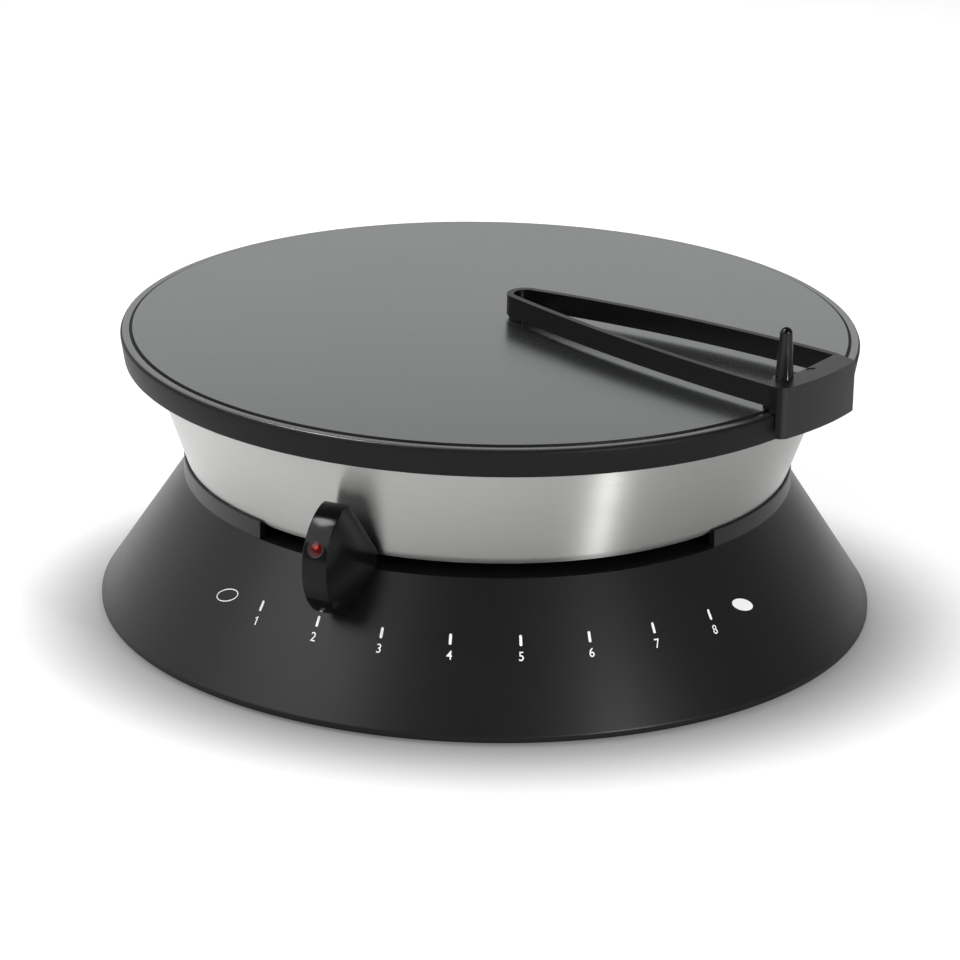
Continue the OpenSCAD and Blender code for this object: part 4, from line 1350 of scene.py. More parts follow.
@dataclass
class HeatLever:
    """Sliding knob of the heat lever, with its pilot lamp."""

    azimuth: float = -24.6
    back_r: float = 146.23
    back_z: float = 66.0
    back_w: float = 26.0
    back_h: float = 8.5
    front_w: float = 12.0
    front_r: float = 183.23
    nose_z: float = 75.0
    rise: float = 24.5
    fall: float = 28.0
    top_curve: float = 25.2
    low_curve: float = 29.2
    foot_x: float = 163.1
    tip: float = 4.0
    lens_r: float = 3.8
    lens_tilt: float = 22.0
    lens_depth: float = 4.0
    lens_proud: float = 0.8
    lens_gap: float = 0.05
    rim_w: float = 0.55
    wire_hole: tuple[float, float] = (2.9, 16.0)
    pocket_half: float = 5.1
    pocket_r: float = 168.5
    pocket_z: tuple[float, float] = (65.0, 67.7)
    screw_out: float = 158.2
    screw_head: tuple[float, float] = (3.6, 57.1)
    screw_shank_r: float = 1.9
    screw_z: tuple[float, float] = (40.0, 66.0)

    @property
    def spin(self) -> Matrix:
        """Turns a form made at the front to the lever's azimuth."""
        return Matrix.Rotation(math.radians(self.azimuth), 4, "Z")

    @property
    def lens_spot(self) -> Point2:
        """Middle of the lens on the side outline: distance out and height."""
        tilt = math.radians(self.lens_tilt)
        out = self.front_r - self.top_curve * (1 - math.cos(tilt))
        return out, self.nose_z + self.top_curve * math.sin(tilt)

    @property
    def lens_centre(self) -> tuple[float, float, float]:
        """Middle of the lens on the knob's front, in the frame."""
        out, height = self.lens_spot
        return (*polar(out, self.azimuth), height)

    @property
    def lens_frame(self) -> Matrix:
        """Takes a form made round Z to the lens's seat."""
        out, height = self.lens_spot
        tip = Matrix.Rotation(math.pi / 2 - math.radians(self.lens_tilt), 4, "X")
        return self.spin @ Matrix.Translation((0, -out, height)) @ tip

    def side(self) -> list[Point2]:
        """Side outline of the knob's front band: distance out and height."""
        top_half = math.degrees(math.asin(self.rise / self.top_curve))
        low_half = math.degrees(math.asin(self.fall / self.low_curve))
        upper = arc(self.front_r - self.top_curve, self.nose_z, self.top_curve, top_half, 0, 28)
        lower = arc(self.front_r - self.low_curve, self.nose_z, self.low_curve, -2, -low_half, 28)
        tip_x = upper[0][0] - self.tip
        top_z = self.nose_z + self.rise
        return [
            (tip_x, top_z - 0.5),
            (tip_x + 0.7, top_z),
            *upper,
            *lower,
            (self.foot_x, self.nose_z - self.fall),
        ]

    def build(self, shop: FinishShop) -> None:
        """Makes the knob, the lens and its rim."""
        half = self.front_w / 2
        points = [(y, -x, z) for x, z in self.side() for y in (-half, half)]
        half = self.back_w / 2
        points += [
            (y, -x, z)
            for x in (self.back_r, self.back_r + 1.5)
            for y in (-half, half)
            for z in (self.back_z, self.back_z + self.back_h)
        ]
        knob = Form.hull(points).moved(self.spin).to_object("lever_handle")
        bevelled(knob, 0.9, 20, 4)
        half, out, back = self.pocket_half, -self.pocket_r, -self.back_r + 1
        pocket = Form.prism(
            [(-half, out), (half, out), (half, back), (-half, back)], *self.pocket_z
        )
        combined(knob, pocket.moved(self.spin).to_object("arm_pocket"), Merge.CUT)
        wire_r, deep = self.wire_hole
        seat_r = self.lens_r + self.lens_gap
        hole = Form.revolved(
            [
                (0, -deep),
                (wire_r, -deep),
                (wire_r, -self.lens_depth),
                (seat_r, -self.lens_depth),
                (seat_r, 4),
                (0, 4),
            ],
            64,
        )
        combined(knob, hole.moved(self.lens_frame).to_object("lens_seat"), Merge.CUT)
        low, high = self.screw_z
        head_r, head_z = self.screw_head
        shank_r = self.screw_shank_r
        screw = Form.revolved(
            [
                (0, low),
                (head_r, low),
                (head_r, head_z),
                (shank_r, head_z),
                (shank_r, high),
                (0, high),
            ],
            32,
        )
        screw.moved(self.spin @ Matrix.Translation((0, -self.screw_out, 0)))
        combined(knob, screw.to_object("screw_well"), Merge.CUT)
        mount(smoothed(knob, 24), Body.LEVER, "knob_plastic", shop, ["lever_knob"])
        self.build_lens(shop)

    def build_lens(self, shop: FinishShop) -> None:
        """Makes the domed lens and the rim round it."""
        inner = self.lens_r - self.rim_w
        proud = self.lens_proud
        dome_r = (inner**2 + proud**2) / (2 * proud)
        half = math.degrees(math.asin(inner / dome_r))
        dome = arc(0, proud - dome_r + 0.1, dome_r, 90 - half, 90, 10)
        lens = Form.revolved([(0, -self.lens_depth), (inner, -self.lens_depth), *dome], 48)
        lens_obj = lens.moved(self.lens_frame).to_object("lamp_lens")
        mount(smoothed(lens_obj), Body.LEVER, "red_lens", shop, ["pilot_lens"])
        rim = filleted(
            [
                (inner + 0.02, -1.5, 0),
                (self.lens_r, -1.5, 0),
                (self.lens_r, 0.35, 0.2),
                (inner + 0.02, 0.35, 0.2),
            ]
        )
        rim_obj = Form.revolved(rim, 48).moved(self.lens_frame).to_object("lamp_rim")
        mount(smoothed(rim_obj), Body.LEVER, "gland_plastic", shop)


@dataclass
class Spreader:
    """Batter spreader: two bowed walls from a round tip to a block that hooks the rim."""

    azimuth: float = 55.3
    top_z: float = 148.8
    wall_z: float = 138.9
    wall: float = 3.2
    tip_x: float = 7.9
    tip_y: float = 18.3
    tip_r: float = 9.3
    front_y: float = -27.2
    back_y: float = 31.8
    in_x: float = 170.0
    out_x: float = 182.6
    front_bow: float = 4.1
    back_bow: float = 5.6
    corner: float = 5.0
    face_r: float = 150.0
    face_y: float = 13.0
    taper: float = 4.0
    hook_z: float = 124.8
    peg_x: float = 169.1
    peg_y: float = -13.6
    peg_r: float = 4.1
    peg_tip_r: float = 2.85
    peg_top_z: float = 172.8
    peg_deep: float = 5.7
    peg_shank_r: float = 2.5
    low_z: float = 136.8
    boss_r: float = 5.3
    web_x: tuple[float, float] = (166.0, 172.0)
    rim_clear: tuple[float, float] = (175.6, 136.1)
    disc_clear_r: float = 170.4
    recess_x: float = 3.5
    recess_y: float = 4.2
    recess_r: float = 3.0
    recess_deep: float = 0.35

    @property
    def turn(self) -> Matrix:
        """Takes the spreader's own plan to the frame."""
        return Matrix.Rotation(math.radians(self.azimuth - 90), 4, "Z")

    def plan(self, inset: float) -> list[Point2]:
        """Plan of the walls' outside, or of the opening when inset by the wall."""
        r = self.tip_r - inset
        lean = math.atan((self.tip_y - self.front_y) / self.in_x)
        front = (self.tip_x - r * math.sin(lean), self.tip_y - r * math.cos(lean))
        back = (self.tip_x, self.tip_y + r)
        end_x = self.in_x if inset > 0 else self.in_x + 1
        return [
            *bowed(front, (end_x, self.front_y + inset), self.front_bow, 40),
            *bowed((end_x, self.back_y - inset), back, self.back_bow, 40),
            *arc(self.tip_x, self.tip_y, r, 93, 267 - math.degrees(lean), 24),
        ]

    def block_plan(self) -> list[Point2]:
        """Plan of the end block."""
        face_x = self.out_x - self.face_r
        low_y = self.front_y - 0.2 + self.corner
        first = math.degrees(math.asin((low_y - self.face_y) / self.face_r))
        last = math.degrees(math.asin((self.back_y - self.taper - self.face_y) / self.face_r))
        corner_x = face_x + self.face_r * math.cos(math.radians(first)) - self.corner
        return [
            (self.in_x, self.back_y),
            (self.in_x, self.front_y - 0.2),
            *arc(corner_x, low_y, self.corner, -90, first, 10),
            *arc(face_x, self.face_y, self.face_r, first + 1, last, 24),
        ]

    def walls(self) -> bpy.types.Object:
        """Makes the ring of the two walls with its rounded edges."""
        outer, inner = self.plan(0), self.plan(self.wall)
        low, high = self.wall_z, self.top_z
        form = Form()
        loops = [
            [form.bm.verts.new((x, y, z)) for x, y in outline]
            for outline, z in ((outer, low), (inner, low), (inner, high), (outer, high))
        ]
        count = len(outer)
        for i in range(count):
            k = (i + 1) % count
            for a, b in ((0, 1), (1, 2), (2, 3), (3, 0)):
                form.bm.faces.new((loops[a][i], loops[a][k], loops[b][k], loops[b][i]))
        return form.cleaned().to_object("spreader_body")

    def build(self, shop: FinishShop) -> None:
        """Makes the walls, the block with its hook, the tip's foot and the peg."""
        body = self.walls()
        block = Form.prism(self.block_plan(), self.hook_z, self.top_z).to_object("block")
        rim_r, rim_z = self.rim_clear
        disc_r, low = self.disc_clear_r, self.low_z
        cutter = Form.revolved(
            [(0, 100), (rim_r, 100), (rim_r, rim_z), (disc_r, rim_z), (disc_r, low), (0, low)],
            360,
        ).moved(self.turn.inverted())
        combined(block, cutter.to_object("rim_space"), Merge.CUT)
        boss_r, top = self.boss_r, self.top_z
        boss = Form.revolved([(0, low), (boss_r, low), (boss_r, top), (0, top)], 48)
        boss.moved(Matrix.Translation((self.peg_x, self.peg_y, 0)))
        combined(block, boss.to_object("boss"), Merge.UNION)
        start, end = self.web_x
        front = self.front_y + 1
        web = Form.prism(
            [(start, front), (end, front), (end, self.peg_y), (start, self.peg_y)], low, top
        )
        combined(block, web.to_object("web"), Merge.UNION)
        combined(body, block, Merge.UNION)
        foot = Form.prism(self.foot_plan(), low, self.wall_z + 1)
        combined(body, foot.to_object("foot"), Merge.UNION)
        flat_x, middle, radius = self.in_x + self.recess_x, self.recess_y, self.recess_r
        recess = Form.prism(
            [(flat_x, middle - radius), *arc(flat_x, middle, radius, 270, 90, 16)],
            top - self.recess_deep,
            top + 1,
        )
        bevelled(body, 0.5, 35, 3)
        combined(body, recess.to_object("recess"), Merge.CUT)
        body.data.transform(self.turn)
        smoothed(body, 28, True)
        mount(body, Body.SPREADER, "spreader_plastic", shop, ["spreader_frame"])
        self.build_peg(shop)

    def foot_plan(self) -> list[Point2]:
        """Plan of the foot under the round tip."""
        out, inn = self.tip_r - 1.0, self.tip_r - self.wall
        return [
            *arc(self.tip_x, self.tip_y, out, 75, 285, 24),
            *arc(self.tip_x, self.tip_y, inn, 285, 75, 24),
        ]

    def build_peg(self, shop: FinishShop) -> None:
        """Makes the tapered peg with its round top and small foot."""
        dome_z = self.peg_top_z - self.peg_tip_r
        outline = [
            (0, self.top_z - self.peg_deep),
            (self.peg_shank_r, self.top_z - self.peg_deep),
            (self.peg_shank_r, self.top_z),
            (self.peg_r + 0.5, self.top_z),
            (self.peg_r + 0.15, self.top_z + 0.25),
            (self.peg_r, self.top_z + 0.8),
            (self.peg_tip_r, dome_z),
            *arc(0, dome_z, self.peg_tip_r, 5, 90, 12),
        ]
        peg = Form.revolved(outline, 64)
        peg.moved(self.turn @ Matrix.Translation((self.peg_x, self.peg_y, 0)))
        piece = smoothed(peg.to_object("handle_peg"))
        mount(piece, Body.SPREADER, "peg_plastic", shop, ["spreader_peg"])


@dataclass
class ScalePrint:
    """Printed scale on the base: ticks, plain numbers, an open and a filled ellipse."""

    first: float = -39.03
    step: float = 11.15
    count: int = 8
    lift: float = 0.05
    thick: float = 0.03
    tick_out: float = 160.74
    tick_long: float = 5.1
    tick_wide: float = 1.25
    digit_out: float = 164.7
    digit_high: float = 4.2
    digit_bold: float = 0.004
    digit_narrow: float = 0.92
    one: tuple[Point2, ...] = (
        (0.0, -0.5),
        (0.14, -0.5),
        (0.14, 0.5),
        (0.05, 0.5),
        (-0.03, 0.38),
        (-0.2, 0.29),
        (-0.2, 0.19),
        (0.0, 0.27),
    )
    ellipse_half: tuple[float, float] = (6.35, 2.85)
    ellipse_line: float = 0.5
    ellipse_turn: float = 21.3
    open_at: tuple[float, float] = (-46.86, 161.38)
    filled_at: tuple[float, float] = (46.56, 161.12)

    def __post_init__(self) -> None:
        """Takes the cone's slope from the base."""
        base = BaseHousing()
        self.slope = base.slope
        self.crease = (base.crease_r, base.crease_z)

    def on_cone(self, azimuth: float, out: float, u: float, v: float, w: float) -> Vector:
        """Point of the print on the cone.

        Args:
            azimuth: Azimuth of the mark's middle.
            out: Radius of the mark's middle.
            u: Distance along the ring, to the right.
            v: Distance up the slope.
            w: Height over the surface.

        Returns:
            The point in the frame.
        """
        lean = math.atan(self.slope)
        radius = out - v * math.sin(lean)
        height = self.crease[1] - (radius - self.crease[0]) / self.slope
        radius += (self.lift + w) * math.cos(lean)
        height += (self.lift + w) * math.sin(lean)
        turn = azimuth + math.degrees(u / out)
        return Vector((*polar(radius, turn), height))

    def mark(
        self,
        outline: Sequence[Point2],
        azimuth: float,
        out: float,
        hole: Sequence[Point2] = (),
    ) -> Form:
        """Thin raised mark on the cone.

        Args:
            outline: Its outline along the ring and up the slope.
            azimuth: Azimuth of its middle.
            out: Radius of its middle.
            hole: Outline of its opening, with as many points.

        Returns:
            The form.
        """
        form = Form()
        loops = [
            [form.bm.verts.new(self.on_cone(azimuth, out, u, v, w)) for u, v in line]
            for line, w in ((outline, 0.0), (outline, self.thick))
        ]
        count = len(outline)
        if hole:
            loops += [
                [form.bm.verts.new(self.on_cone(azimuth, out, u, v, w)) for u, v in hole]
                for w in (self.thick, 0.0)
            ]
        bands = ((0, 1), (1, 2), (2, 3), (3, 0)) if hole else ((0, 1),)
        for i in range(count):
            k = (i + 1) % count
            for a, b in bands:
                form.bm.faces.new((loops[a][i], loops[a][k], loops[b][k], loops[b][i]))
        if not hole:
            form.bm.faces.new(loops[0])
            form.bm.faces.new(loops[1])
        return form.cleaned()

    def digit(self, sign: str, azimuth: float) -> Form:
        """Plain number on the cone."""
        if sign == "1":
            high = self.digit_high
            flag = [(x * high, y * high) for x, y in self.one]
            return self.mark(flag, azimuth, self.digit_out)
        text = bpy.data.curves.new("sign", "FONT")
        text.body = sign
        text.align_x = "CENTER"
        text.offset = self.digit_bold
        text.extrude = 0.5
        text.resolution_u = 6
        obj = placed("sign", text)
        graph = bpy.context.evaluated_depsgraph_get()
        data = bpy.data.meshes.new_from_object(obj.evaluated_get(graph))
        bpy.data.objects.remove(obj)
        bpy.data.curves.remove(text)
        form = Form()
        form.bm.from_mesh(data)
        bpy.data.meshes.remove(data)
        ys = [v.co.y for v in form.bm.verts]
        xs = [v.co.x for v in form.bm.verts]
        scale = self.digit_high / (max(ys) - min(ys))
        mid_x, mid_y = (max(xs) + min(xs)) / 2, (max(ys) + min(ys)) / 2
        for v in form.bm.verts:
            w = self.thick if v.co.z > 0 else 0.0
            along = (v.co.x - mid_x) * scale * self.digit_narrow
            v.co = self.on_cone(azimuth, self.digit_out, along, (v.co.y - mid_y) * scale, w)
        return form.cleaned()

    def ellipse(self, grow: float, turn: float) -> list[Point2]:
        """Outline of the ellipse, grown by a distance and turned by degrees."""
        a, b = (half + grow for half in self.ellipse_half)
        spin = Matrix.Rotation(math.radians(turn), 2)
        angles = (math.tau * i / 72 for i in range(72))
        return [tuple(spin @ Vector((a * math.cos(t), b * math.sin(t)))) for t in angles]

    def build(self, shop: FinishShop, ring: RingPattern) -> None:
        """Makes the ticks, the numbers and the two ellipses."""
        wide, long = self.tick_wide / 2, self.tick_long / 2
        capsule = arc(0, long - wide, wide, 0, 180, 10) + arc(0, wide - long, wide, 180, 360, 10)
        ticks = self.mark(capsule, 0.0, self.tick_out).to_object("scale_ticks")
        ring.apply(ticks, self.count, self.first, self.step, shop.material("scale_print"))
        mount(ticks, Body.HOUSING, "scale_print", shop)
        numbers = Form()
        for i in range(self.count):
            numbers.add(self.digit(str(i + 1), self.first + self.step * i))
        mount(numbers.to_object("scale_numbers"), Body.HOUSING, "scale_print", shop)
        line, turn = self.ellipse_line / 2, self.ellipse_turn
        ends = self.mark(self.ellipse(line, turn), *self.open_at, self.ellipse(-line, turn))
        ends.add(self.mark(self.ellipse(0.0, -turn), *self.filled_at))
        mount(ends.to_object("scale_ellipses"), Body.HOUSING, "scale_print", shop)


@dataclass
class Underside:
    """Feet, cover screws and the cord gland."""

    foot_circle_r: float = 158.0
    foot_r: float = 9.0
    cover_z: float = 3.5
    floor_z: float = 5.0
    screw_r: float = 1.9
    head_high: float = 1.8
    screw_deep: float = 10.0
    cross: tuple[float, float, float] = (1.9, 0.4, 0.7)
    bore_r: float = 3.6
    neck_r: float = 6.0
    head_r: float = 7.4
    rib_count: int = 16
    gland_in: float = 156.032
    gland_end: float = 183.333

    def build(self, shop: FinishShop, ring: RingPattern) -> None:
        """Makes the feet, the screws and the gland."""
        feet = Form.revolved(
            filleted(
                [
                    (0, 0.4, 0),
                    (4.2, 0.4, 0.1),
                    (4.6, 0, 0.1),
                    (5.6, 0, 0.1),
                    (6.0, 0.4, 0.1),
                    (6.6, 0.4, 0.1),
                    (7.0, 0, 0.1),
                    (self.foot_r, 0, 0.8),
                    (self.foot_r, self.cover_z, 0.3),
                    (3.0, self.cover_z, 0),
                    (3.0, self.floor_z, 0),
                    (4.2, self.floor_z, 0.3),
                    (3.2, self.floor_z + 2.5, 0.3),
                    (0, self.floor_z + 2.5, 0),
                ]
            ),
            64,
        ).moved(Matrix.Translation((0, -self.foot_circle_r, 0)))
        pads = ring.apply(feet.to_object("rubber_feet"), *FOOT_RING, shop.material("foot_rubber"))
        mount(smoothed(pads), Body.HOUSING, "foot_rubber", shop, ["feet"])
        self.build_screws(shop, ring)
        self.build_gland(shop, ring)

    def build_screws(self, shop: FinishShop, ring: RingPattern) -> None:
        """Makes the cover's pan-head screws with their cross recess."""
        head = self.screw_r * 2
        screw = Form.revolved(
            filleted(
                [
                    (0, self.cover_z - self.head_high, 0),
                    (head, self.cover_z - self.head_high, 1.1),
                    (head, self.cover_z, 0.1),
                    (self.screw_r, self.cover_z, 0),
                    (self.screw_r, self.cover_z + self.screw_deep, 0.5),
                    (0, self.cover_z + self.screw_deep, 0),
                ]
            ),
            48,
        ).to_object("pan_screws")
        long, wide, edge = self.cross
        quarter = [(wide, -wide), (long, -wide), (long, wide)]
        plus = [
            (x * math.cos(turn) - y * math.sin(turn), x * math.sin(turn) + y * math.cos(turn))
            for turn in (math.radians(90 * i) for i in range(4))
            for x, y in quarter
        ]
        cross = Form.prism(plus, 0.0, self.cover_z - edge)
        combined(screw, cross.to_object("cross"), Merge.CUT)
        screw.data.transform(Matrix.Translation((0, -SCREW_CIRCLE_R * MM, 0)))
        ring.apply(screw, *SCREW_RING, shop.material("zinc_steel"))
        mount(smoothed(screw), Body.HOUSING, "zinc_steel", shop, ["cover_screws"])

    def build_gland(self, shop: FinishShop, ring: RingPattern) -> None:
        """Makes the gland: neck, ribbed head and open bore."""
        length = self.gland_end - GLAND_FACE
        neck = self.gland_in - GLAND_FACE
        outline = filleted(
            [
                (self.bore_r, neck, 0.3),
                (self.neck_r, neck, 0.5),
                (self.neck_r, 0, 0),
                (self.head_r, 0, 0.2),
                (self.head_r, length - 1.2, 0.8),
                (5.6, length, 0.6),
                (self.bore_r, length, 0.5),
            ]
        )
        gland = Form.revolved(outline, 64).to_object("gland_head")
        rib = Form.prism(
            [(-0.7, -7.95), (0.7, -7.95), (0.9, -7.0), (-0.9, -7.0)], 0.05, length - 1.3
        )
        ribs = bevelled(rib.to_object("ribs"), 0.25, 30, 2)
        ring.apply(ribs, self.rib_count, 0, 360 / self.rib_count)
        combined(gland, ribs, Merge.UNION)
        back = Matrix.Translation((0, GLAND_FACE * MM, GLAND_Z * MM))
        gland.data.transform(back @ Matrix.Rotation(math.radians(-90), 4, "X"))
        mount(smoothed(gland), Body.HOUSING, "gland_plastic", shop, ["cord_gland"])


# ---------------------------------------------------------------------------------------
# Studio
# ---------------------------------------------------------------------------------------


def level_axes(ahead: Vector) -> tuple[Vector, Vector]:
    """Right and up of a level camera that looks ahead."""
    right = ahead.cross(Vector((0, 0, 1))).normalized()
    return right, right.cross(ahead)


@dataclass(frozen=True)
class PhotoCamera:
    """Camera at the photograph's place, fitted to points on the plate's and the base's outlines."""

    focal_px: float = 3961.3
    image_px: float = 960.0
    sensor_mm: float = 36.0
    elevation: float = 17.967
    distance: float = 1877.1
    shift_right_px: float = -7.12
    shift_up_px: float = -154.55
    roll: float = 1.18
    plate_turn: float = 0.3
    plate_z: float = 135.8

    def build(self) -> None:
        """Makes the camera and the scene uses it."""
        tilt = math.radians(self.elevation)
        spot = Vector((0, -self.distance * math.cos(tilt), self.distance * math.sin(tilt)))
        ahead = -spot.normalized()
        right, up = level_axes(ahead)
        ahead = (
            ahead
            + right * self.shift_right_px / self.focal_px
            + up * self.shift_up_px / self.focal_px
        ).normalized()
        right, up = level_axes(ahead)
        turn = math.radians(self.roll)
        right, up = (
            right * math.cos(turn) + up * math.sin(turn),
            up * math.cos(turn) - right * math.sin(turn),
        )
        axes = Matrix((right, up, -ahead)).transposed().to_4x4()
        spin = Matrix.Rotation(math.radians(-self.plate_turn), 4, "Z")
        data = bpy.data.cameras.new("photo_camera")
        data.sensor_fit = "HORIZONTAL"
        data.sensor_width = self.sensor_mm
        data.lens = self.focal_px * self.sensor_mm / self.image_px
        data.clip_start = 0.05
        data.clip_end = 50.0
        camera = placed("photo_camera", data)
        place = spin @ Matrix.Translation(spot) @ axes
        place.translation = (place.translation + Vector((0, 0, self.plate_z))) * MM
        camera.matrix_world = place
        bpy.context.scene.camera = camera


@dataclass(frozen=True)
class SoftBox:
    """Rectangular lamp that looks at a point."""

    name: str
    spot: tuple[float, float, float]
    target: tuple[float, float, float]
    size: tuple[float, float]
    watts: float
    mirrored: bool = True
    diffused: bool = True

    def build(self) -> None:
        """Makes the lamp."""
        data = bpy.data.lights.new(self.name, "AREA")
        data.shape = "RECTANGLE"
        data.size, data.size_y = self.size
        data.energy = self.watts
        lamp = placed(self.name, data)
        way = Vector(self.target) - Vector(self.spot)
        lamp.rotation_euler = way.to_track_quat("-Z", "Y").to_euler()
        lamp.location = self.spot
        lamp.visible_glossy = self.mirrored
        lamp.visible_diffuse = self.diffused


@dataclass(frozen=True)
class Studio:
    """White floor, white surroundings and soft lamps."""

    floor_half: float = 30.0
    horizon: tuple[float, float] = (0.35, 0.75)
    horizon_light: float = 1.0
    ceiling_light: float = 0.3
    dark_share: float = 0.3
    bright_side: tuple[float, float, float] = (-0.6, 0.8, 0.0)
    painted_shadow_r: tuple[float, float] = (144.0, 229.0)
    painted_shadow_y: float = -25.0
    painted_shadow_wide: float = 0.9
    painted_shadow_light: float = 0.26
    floor_lift: float = 0.5
    shaded_side: tuple[float, float] = (110.0, 280.0)
    side_shade: float = 0.85
    shaded_way: tuple[float, float] = (0.94, 0.34)
    depth_span: tuple[float, float] = (-0.45, 0.6)
    floor_white: float = 0.8
    boxes: tuple[SoftBox, ...] = (
        SoftBox("front_left", (-1.2, -0.6, 1.3), (0, 0, 0.05), (1.4, 1.1), 13.0),
        SoftBox("right_strip", (0.965, -1.213, 0.45), (0, 0, 0.08), (0.08, 0.7), 11.0),
        SoftBox("back_top", (-0.35, 0.95, 0.85), (0, 0.05, 0.1), (1.4, 0.4), 6.0, False),
        SoftBox("front_fill", (0.2, -1.5, 1.1), (0, 0, 0.05), (1.2, 0.8), 8.0, False),
        SoftBox("overhead", (-0.8, -0.06, 1.6), (0, 0, 0.1), (0.5, 0.4), 12.0, True, False),
    )

    def build(self) -> None:
        """Makes the world, the floor and the lamps."""
        self.build_world()
        self.build_floor()
        for box in self.boxes:
            box.build()
        bpy.context.scene.view_settings.view_transform = "Standard"

    def build_world(self) -> None:
        """White for the camera; for the object a bright horizon under a dim ceiling."""
        world = bpy.data.worlds.new("studio")
        world.use_nodes = True
        tree = world.node_tree
        tree.nodes.clear()
        out = tree.nodes.new("ShaderNodeOutputWorld")
        mix = tree.nodes.new("ShaderNodeMixShader")
        path = tree.nodes.new("ShaderNodeLightPath")
        white = tree.nodes.new("ShaderNodeBackground")
        white.inputs["Color"].default_value = (1, 1, 1, 1)
        soft = tree.nodes.new("ShaderNodeBackground")
        coords = tree.nodes.new("ShaderNodeTexCoord")
        split = tree.nodes.new("ShaderNodeSeparateXYZ")
        side = tree.nodes.new("ShaderNodeVectorMath")
        side.operation = "DOT_PRODUCT"
        side.inputs[1].default_value = self.bright_side
        rise = tree.nodes.new("ShaderNodeMapRange")
        depth = tree.nodes.new("ShaderNodeMapRange")
        product = tree.nodes.new("ShaderNodeMath")
        product.operation = "MULTIPLY"
        for ramp, span in (
            (rise, (*self.horizon, self.horizon_light, self.ceiling_light)),
            (depth, (*self.depth_span, self.dark_share, 1.0)),
        ):
            ramp.interpolation_type = "SMOOTHSTEP"
            for name, value in zip(("From Min", "From Max", "To Min", "To Max"), span):
                ramp.inputs[name].default_value = value
        for start, end in (
            (coords.outputs["Generated"], split.inputs[0]),
            (split.outputs[2], rise.inputs["Value"]),
            (coords.outputs["Generated"], side.inputs[0]),
            (side.outputs["Value"], depth.inputs["Value"]),
            (rise.outputs[0], product.inputs[0]),
            (depth.outputs[0], product.inputs[1]),
            (product.outputs[0], soft.inputs["Strength"]),
            (path.outputs["Is Camera Ray"], mix.inputs[0]),
            (soft.outputs[0], mix.inputs[1]),
            (white.outputs[0], mix.inputs[2]),
            (mix.outputs[0], out.inputs[0]),
        ):
            tree.links.new(start, end)
        bpy.context.scene.world = world

    def build_floor(self) -> None:
        """White floor that keeps the object's shadow, with a soft shadow painted round the object's
        foot.
        """
        half = self.floor_half
        data = bpy.data.meshes.new("floor")
        data.from_pydata(
            [(-half, -half, 0), (half, -half, 0), (half, half, 0), (-half, half, 0)],
            [],
            [(0, 1, 2, 3)],
        )
        floor = placed("floor", data)
        sh = Shader("studio_floor")
        path = sh.node("ShaderNodeLightPath")
        x, y, _ = sh.place()
        # painted shade for reflections only: glossy rays see the floor's glow dimmed on the right
        # side
        right, front = self.shaded_way
        shaded = (x * right - y * front).ramp(*(r * MM for r in self.shaded_side))
        mirrored = Signal(sh, path.outputs["Is Glossy Ray"]) * (1 - shaded * self.side_shade)
        seen = sh.math(
            "MAXIMUM",
            Signal(sh, path.outputs["Is Camera Ray"]),
            sh.math("MAXIMUM", mirrored, Signal(sh, path.outputs["Is Transmission Ray"])),
        )
        # painted shadow: the floor's colour and glow darken towards the object's foot, centred a
        # little to the front
        side, ahead = x * self.painted_shadow_wide, y - self.painted_shadow_y * MM
        radius = (side * side + ahead * ahead) ** 0.5
        near, far = (r * MM for r in self.painted_shadow_r)
        painted_shadow_factor = radius.ramp(near, far) * (1 - self.painted_shadow_light) + self.painted_shadow_light
        tint = painted_shadow_factor * self.floor_white
        paint = sh.node("ShaderNodeBsdfDiffuse", inputs={"Color": sh.vector(tint, tint, tint)})
        glow = sh.node(
            "ShaderNodeEmission",
            inputs={"Color": (1, 1, 1, 1), "Strength": seen * painted_shadow_factor * self.floor_lift},
        )
        both = sh.node(
            "ShaderNodeAddShader", inputs={0: paint.outputs[0], 1: glow.outputs[0]}
        )
        sh.node("ShaderNodeOutputMaterial", inputs={"Surface": both.outputs[0]})
        data.materials.append(sh.material)


# ---------------------------------------------------------------------------------------
# The whole appliance
# ---------------------------------------------------------------------------------------

CARRIED_NODES: dict[str, str] = {
    "heating_element": "element_sheath",
    "element_seals": "white_ceramic",
    "clamp_plate": "zinc_steel",
    "clamp_nuts": "zinc_steel",
    "insulation_pad": "mineral_wool",
    "heat_shield": "aluminised_sheet",
    "shield_nuts": "zinc_steel",
    "plate_studs": "zinc_steel",
    "stud_nuts": "zinc_steel",
    "thermostat_body": "phenolic",
    "thermostat_bracket": "zinc_steel",
    "bracket_screws": "zinc_steel",
    "sensor_bulb": "copper",
    "thermal_cutout": "phenolic",
    "earth_tag": "brass_parts",
    "lead_grommet": "silicone",
    "internal_leads": "lead_sleeve",
    "lever_bush": "brass_parts",
    "base_cover": "cover_plastic",
    "terminal_block": "white_ceramic",
    "terminal_tubes": "brass_parts",
    "terminal_screws": "zinc_steel",
    "gland_nut": "gland_plastic",
    "thermostat_shaft": "zinc_steel",
    "lever_arm": "lever_steel",
    "lever_circlip": "zinc_steel",
    "knob_screw": "zinc_steel",
    "pilot_lamp": "lamp_glass",
    "lamp_leads": "lead_sleeve",
}


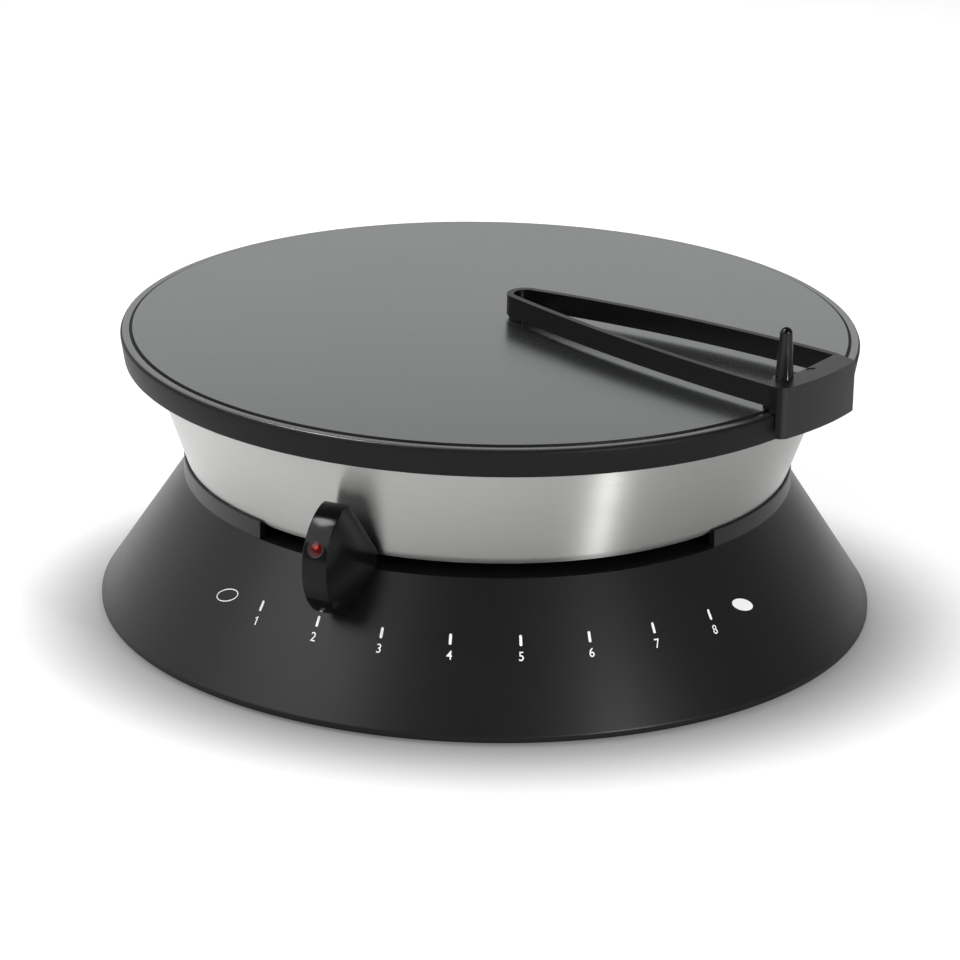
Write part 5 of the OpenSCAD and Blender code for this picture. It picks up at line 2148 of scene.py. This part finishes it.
def all_finishes(lever: HeatLever) -> list[Finish]:
    """Finishes of every slot in the record."""
    return [
        CastIron("cast_plate", (0.011, 0.012, 0.0115), 0.265),
        OxidisedSheath("element_sheath", (0.12, 0.11, 0.1), 0.6),
        Fibrous("white_ceramic", (0.82, 0.8, 0.74), 0.6, fibre=700, fibre_mm=0.02, spread=0.03),
        PlainMetal("zinc_steel", (0.6, 0.61, 0.62), 0.32),
        Fibrous("mineral_wool", (0.75, 0.72, 0.62), 0.95),
        PlainMetal("aluminised_sheet", (0.68, 0.69, 0.7), 0.38, wear=0.2),
        BrushedSteel("brushed_bowl", (0.555, 0.56, 0.545), 0.34),
        MouldedPlastic("phenolic", (0.05, 0.045, 0.04), 0.35, grain_mm=0.008),
        PlainMetal("copper", (0.72, 0.42, 0.28), 0.3, tarnish=(0.25, 0.12, 0.08)),
        PlainMetal("brass_parts", (0.72, 0.58, 0.28), 0.3, tarnish=(0.3, 0.2, 0.08)),
        MouldedPlastic("silicone", (0.55, 0.22, 0.12), 0.55, grain_mm=0.005),
        Fibrous("lead_sleeve", (0.35, 0.12, 0.1), 0.8, fibre=3000, fibre_mm=0.05),
        MouldedPlastic(
            "base_plastic", (0.0052, 0.006, 0.0054), 0.36, grain_mm=0.012, specular=0.33
        ),
        MouldedPlastic("cover_plastic", (0.02, 0.02, 0.02), 0.6, grain_mm=0.03),
        MouldedPlastic("foot_rubber", (0.02, 0.02, 0.02), 0.75, grain_mm=0.03, specular=0.3),
        MouldedPlastic("gland_plastic", (0.02, 0.02, 0.021), 0.38, grain_mm=0.01),
        MouldedPlastic("lever_steel", (0.03, 0.03, 0.03), 0.45, grain_mm=0.01),
        MouldedPlastic(
            "knob_plastic",
            (0.004, 0.004, 0.0045),
            0.16,
            grain_mm=0.002,
            cloud=0.05,
            specular=0.16,
        ),
        LampLens("red_lens", (0.15, 0.006, 0.006), 0.12, centre=lever.lens_centre),
        LampGlass("lamp_glass", (0.8, 0.5, 0.4), 0.1),
        SpreaderPlastic(
            "spreader_plastic", (0.0075, 0.008, 0.0075), 0.38, azimuth=Spreader.azimuth
        ),
        MouldedPlastic(
            "peg_plastic",
            (0.004, 0.004, 0.0045),
            0.12,
            grain_mm=0.002,
            cloud=0.05,
            specular=0.3,
        ),
        PrintInk("scale_print", (0.95, 0.95, 0.94), 0.45),
    ]


def main() -> None:
    """Builds the appliance's pieces, dresses the CAD nodes and sets the studio."""
    logging.basicConfig(level=logging.INFO, format="%(message)s")
    lever = HeatLever()
    shop = FinishShop(all_finishes(lever))
    ring = RingPattern()
    PhotoCamera().build()
    Studio().build()
    CookingPlate().build(shop, ring)
    SteelBowl().build(shop, ring)
    BaseHousing().build(shop, ring)
    lever.build(shop)
    Spreader().build(shop)
    ScalePrint().build(shop, ring)
    Underside().build(shop, ring)
    for node, slot in CARRIED_NODES.items():
        shop.dress_node(node, slot)


if __name__ == "__main__":
    main()
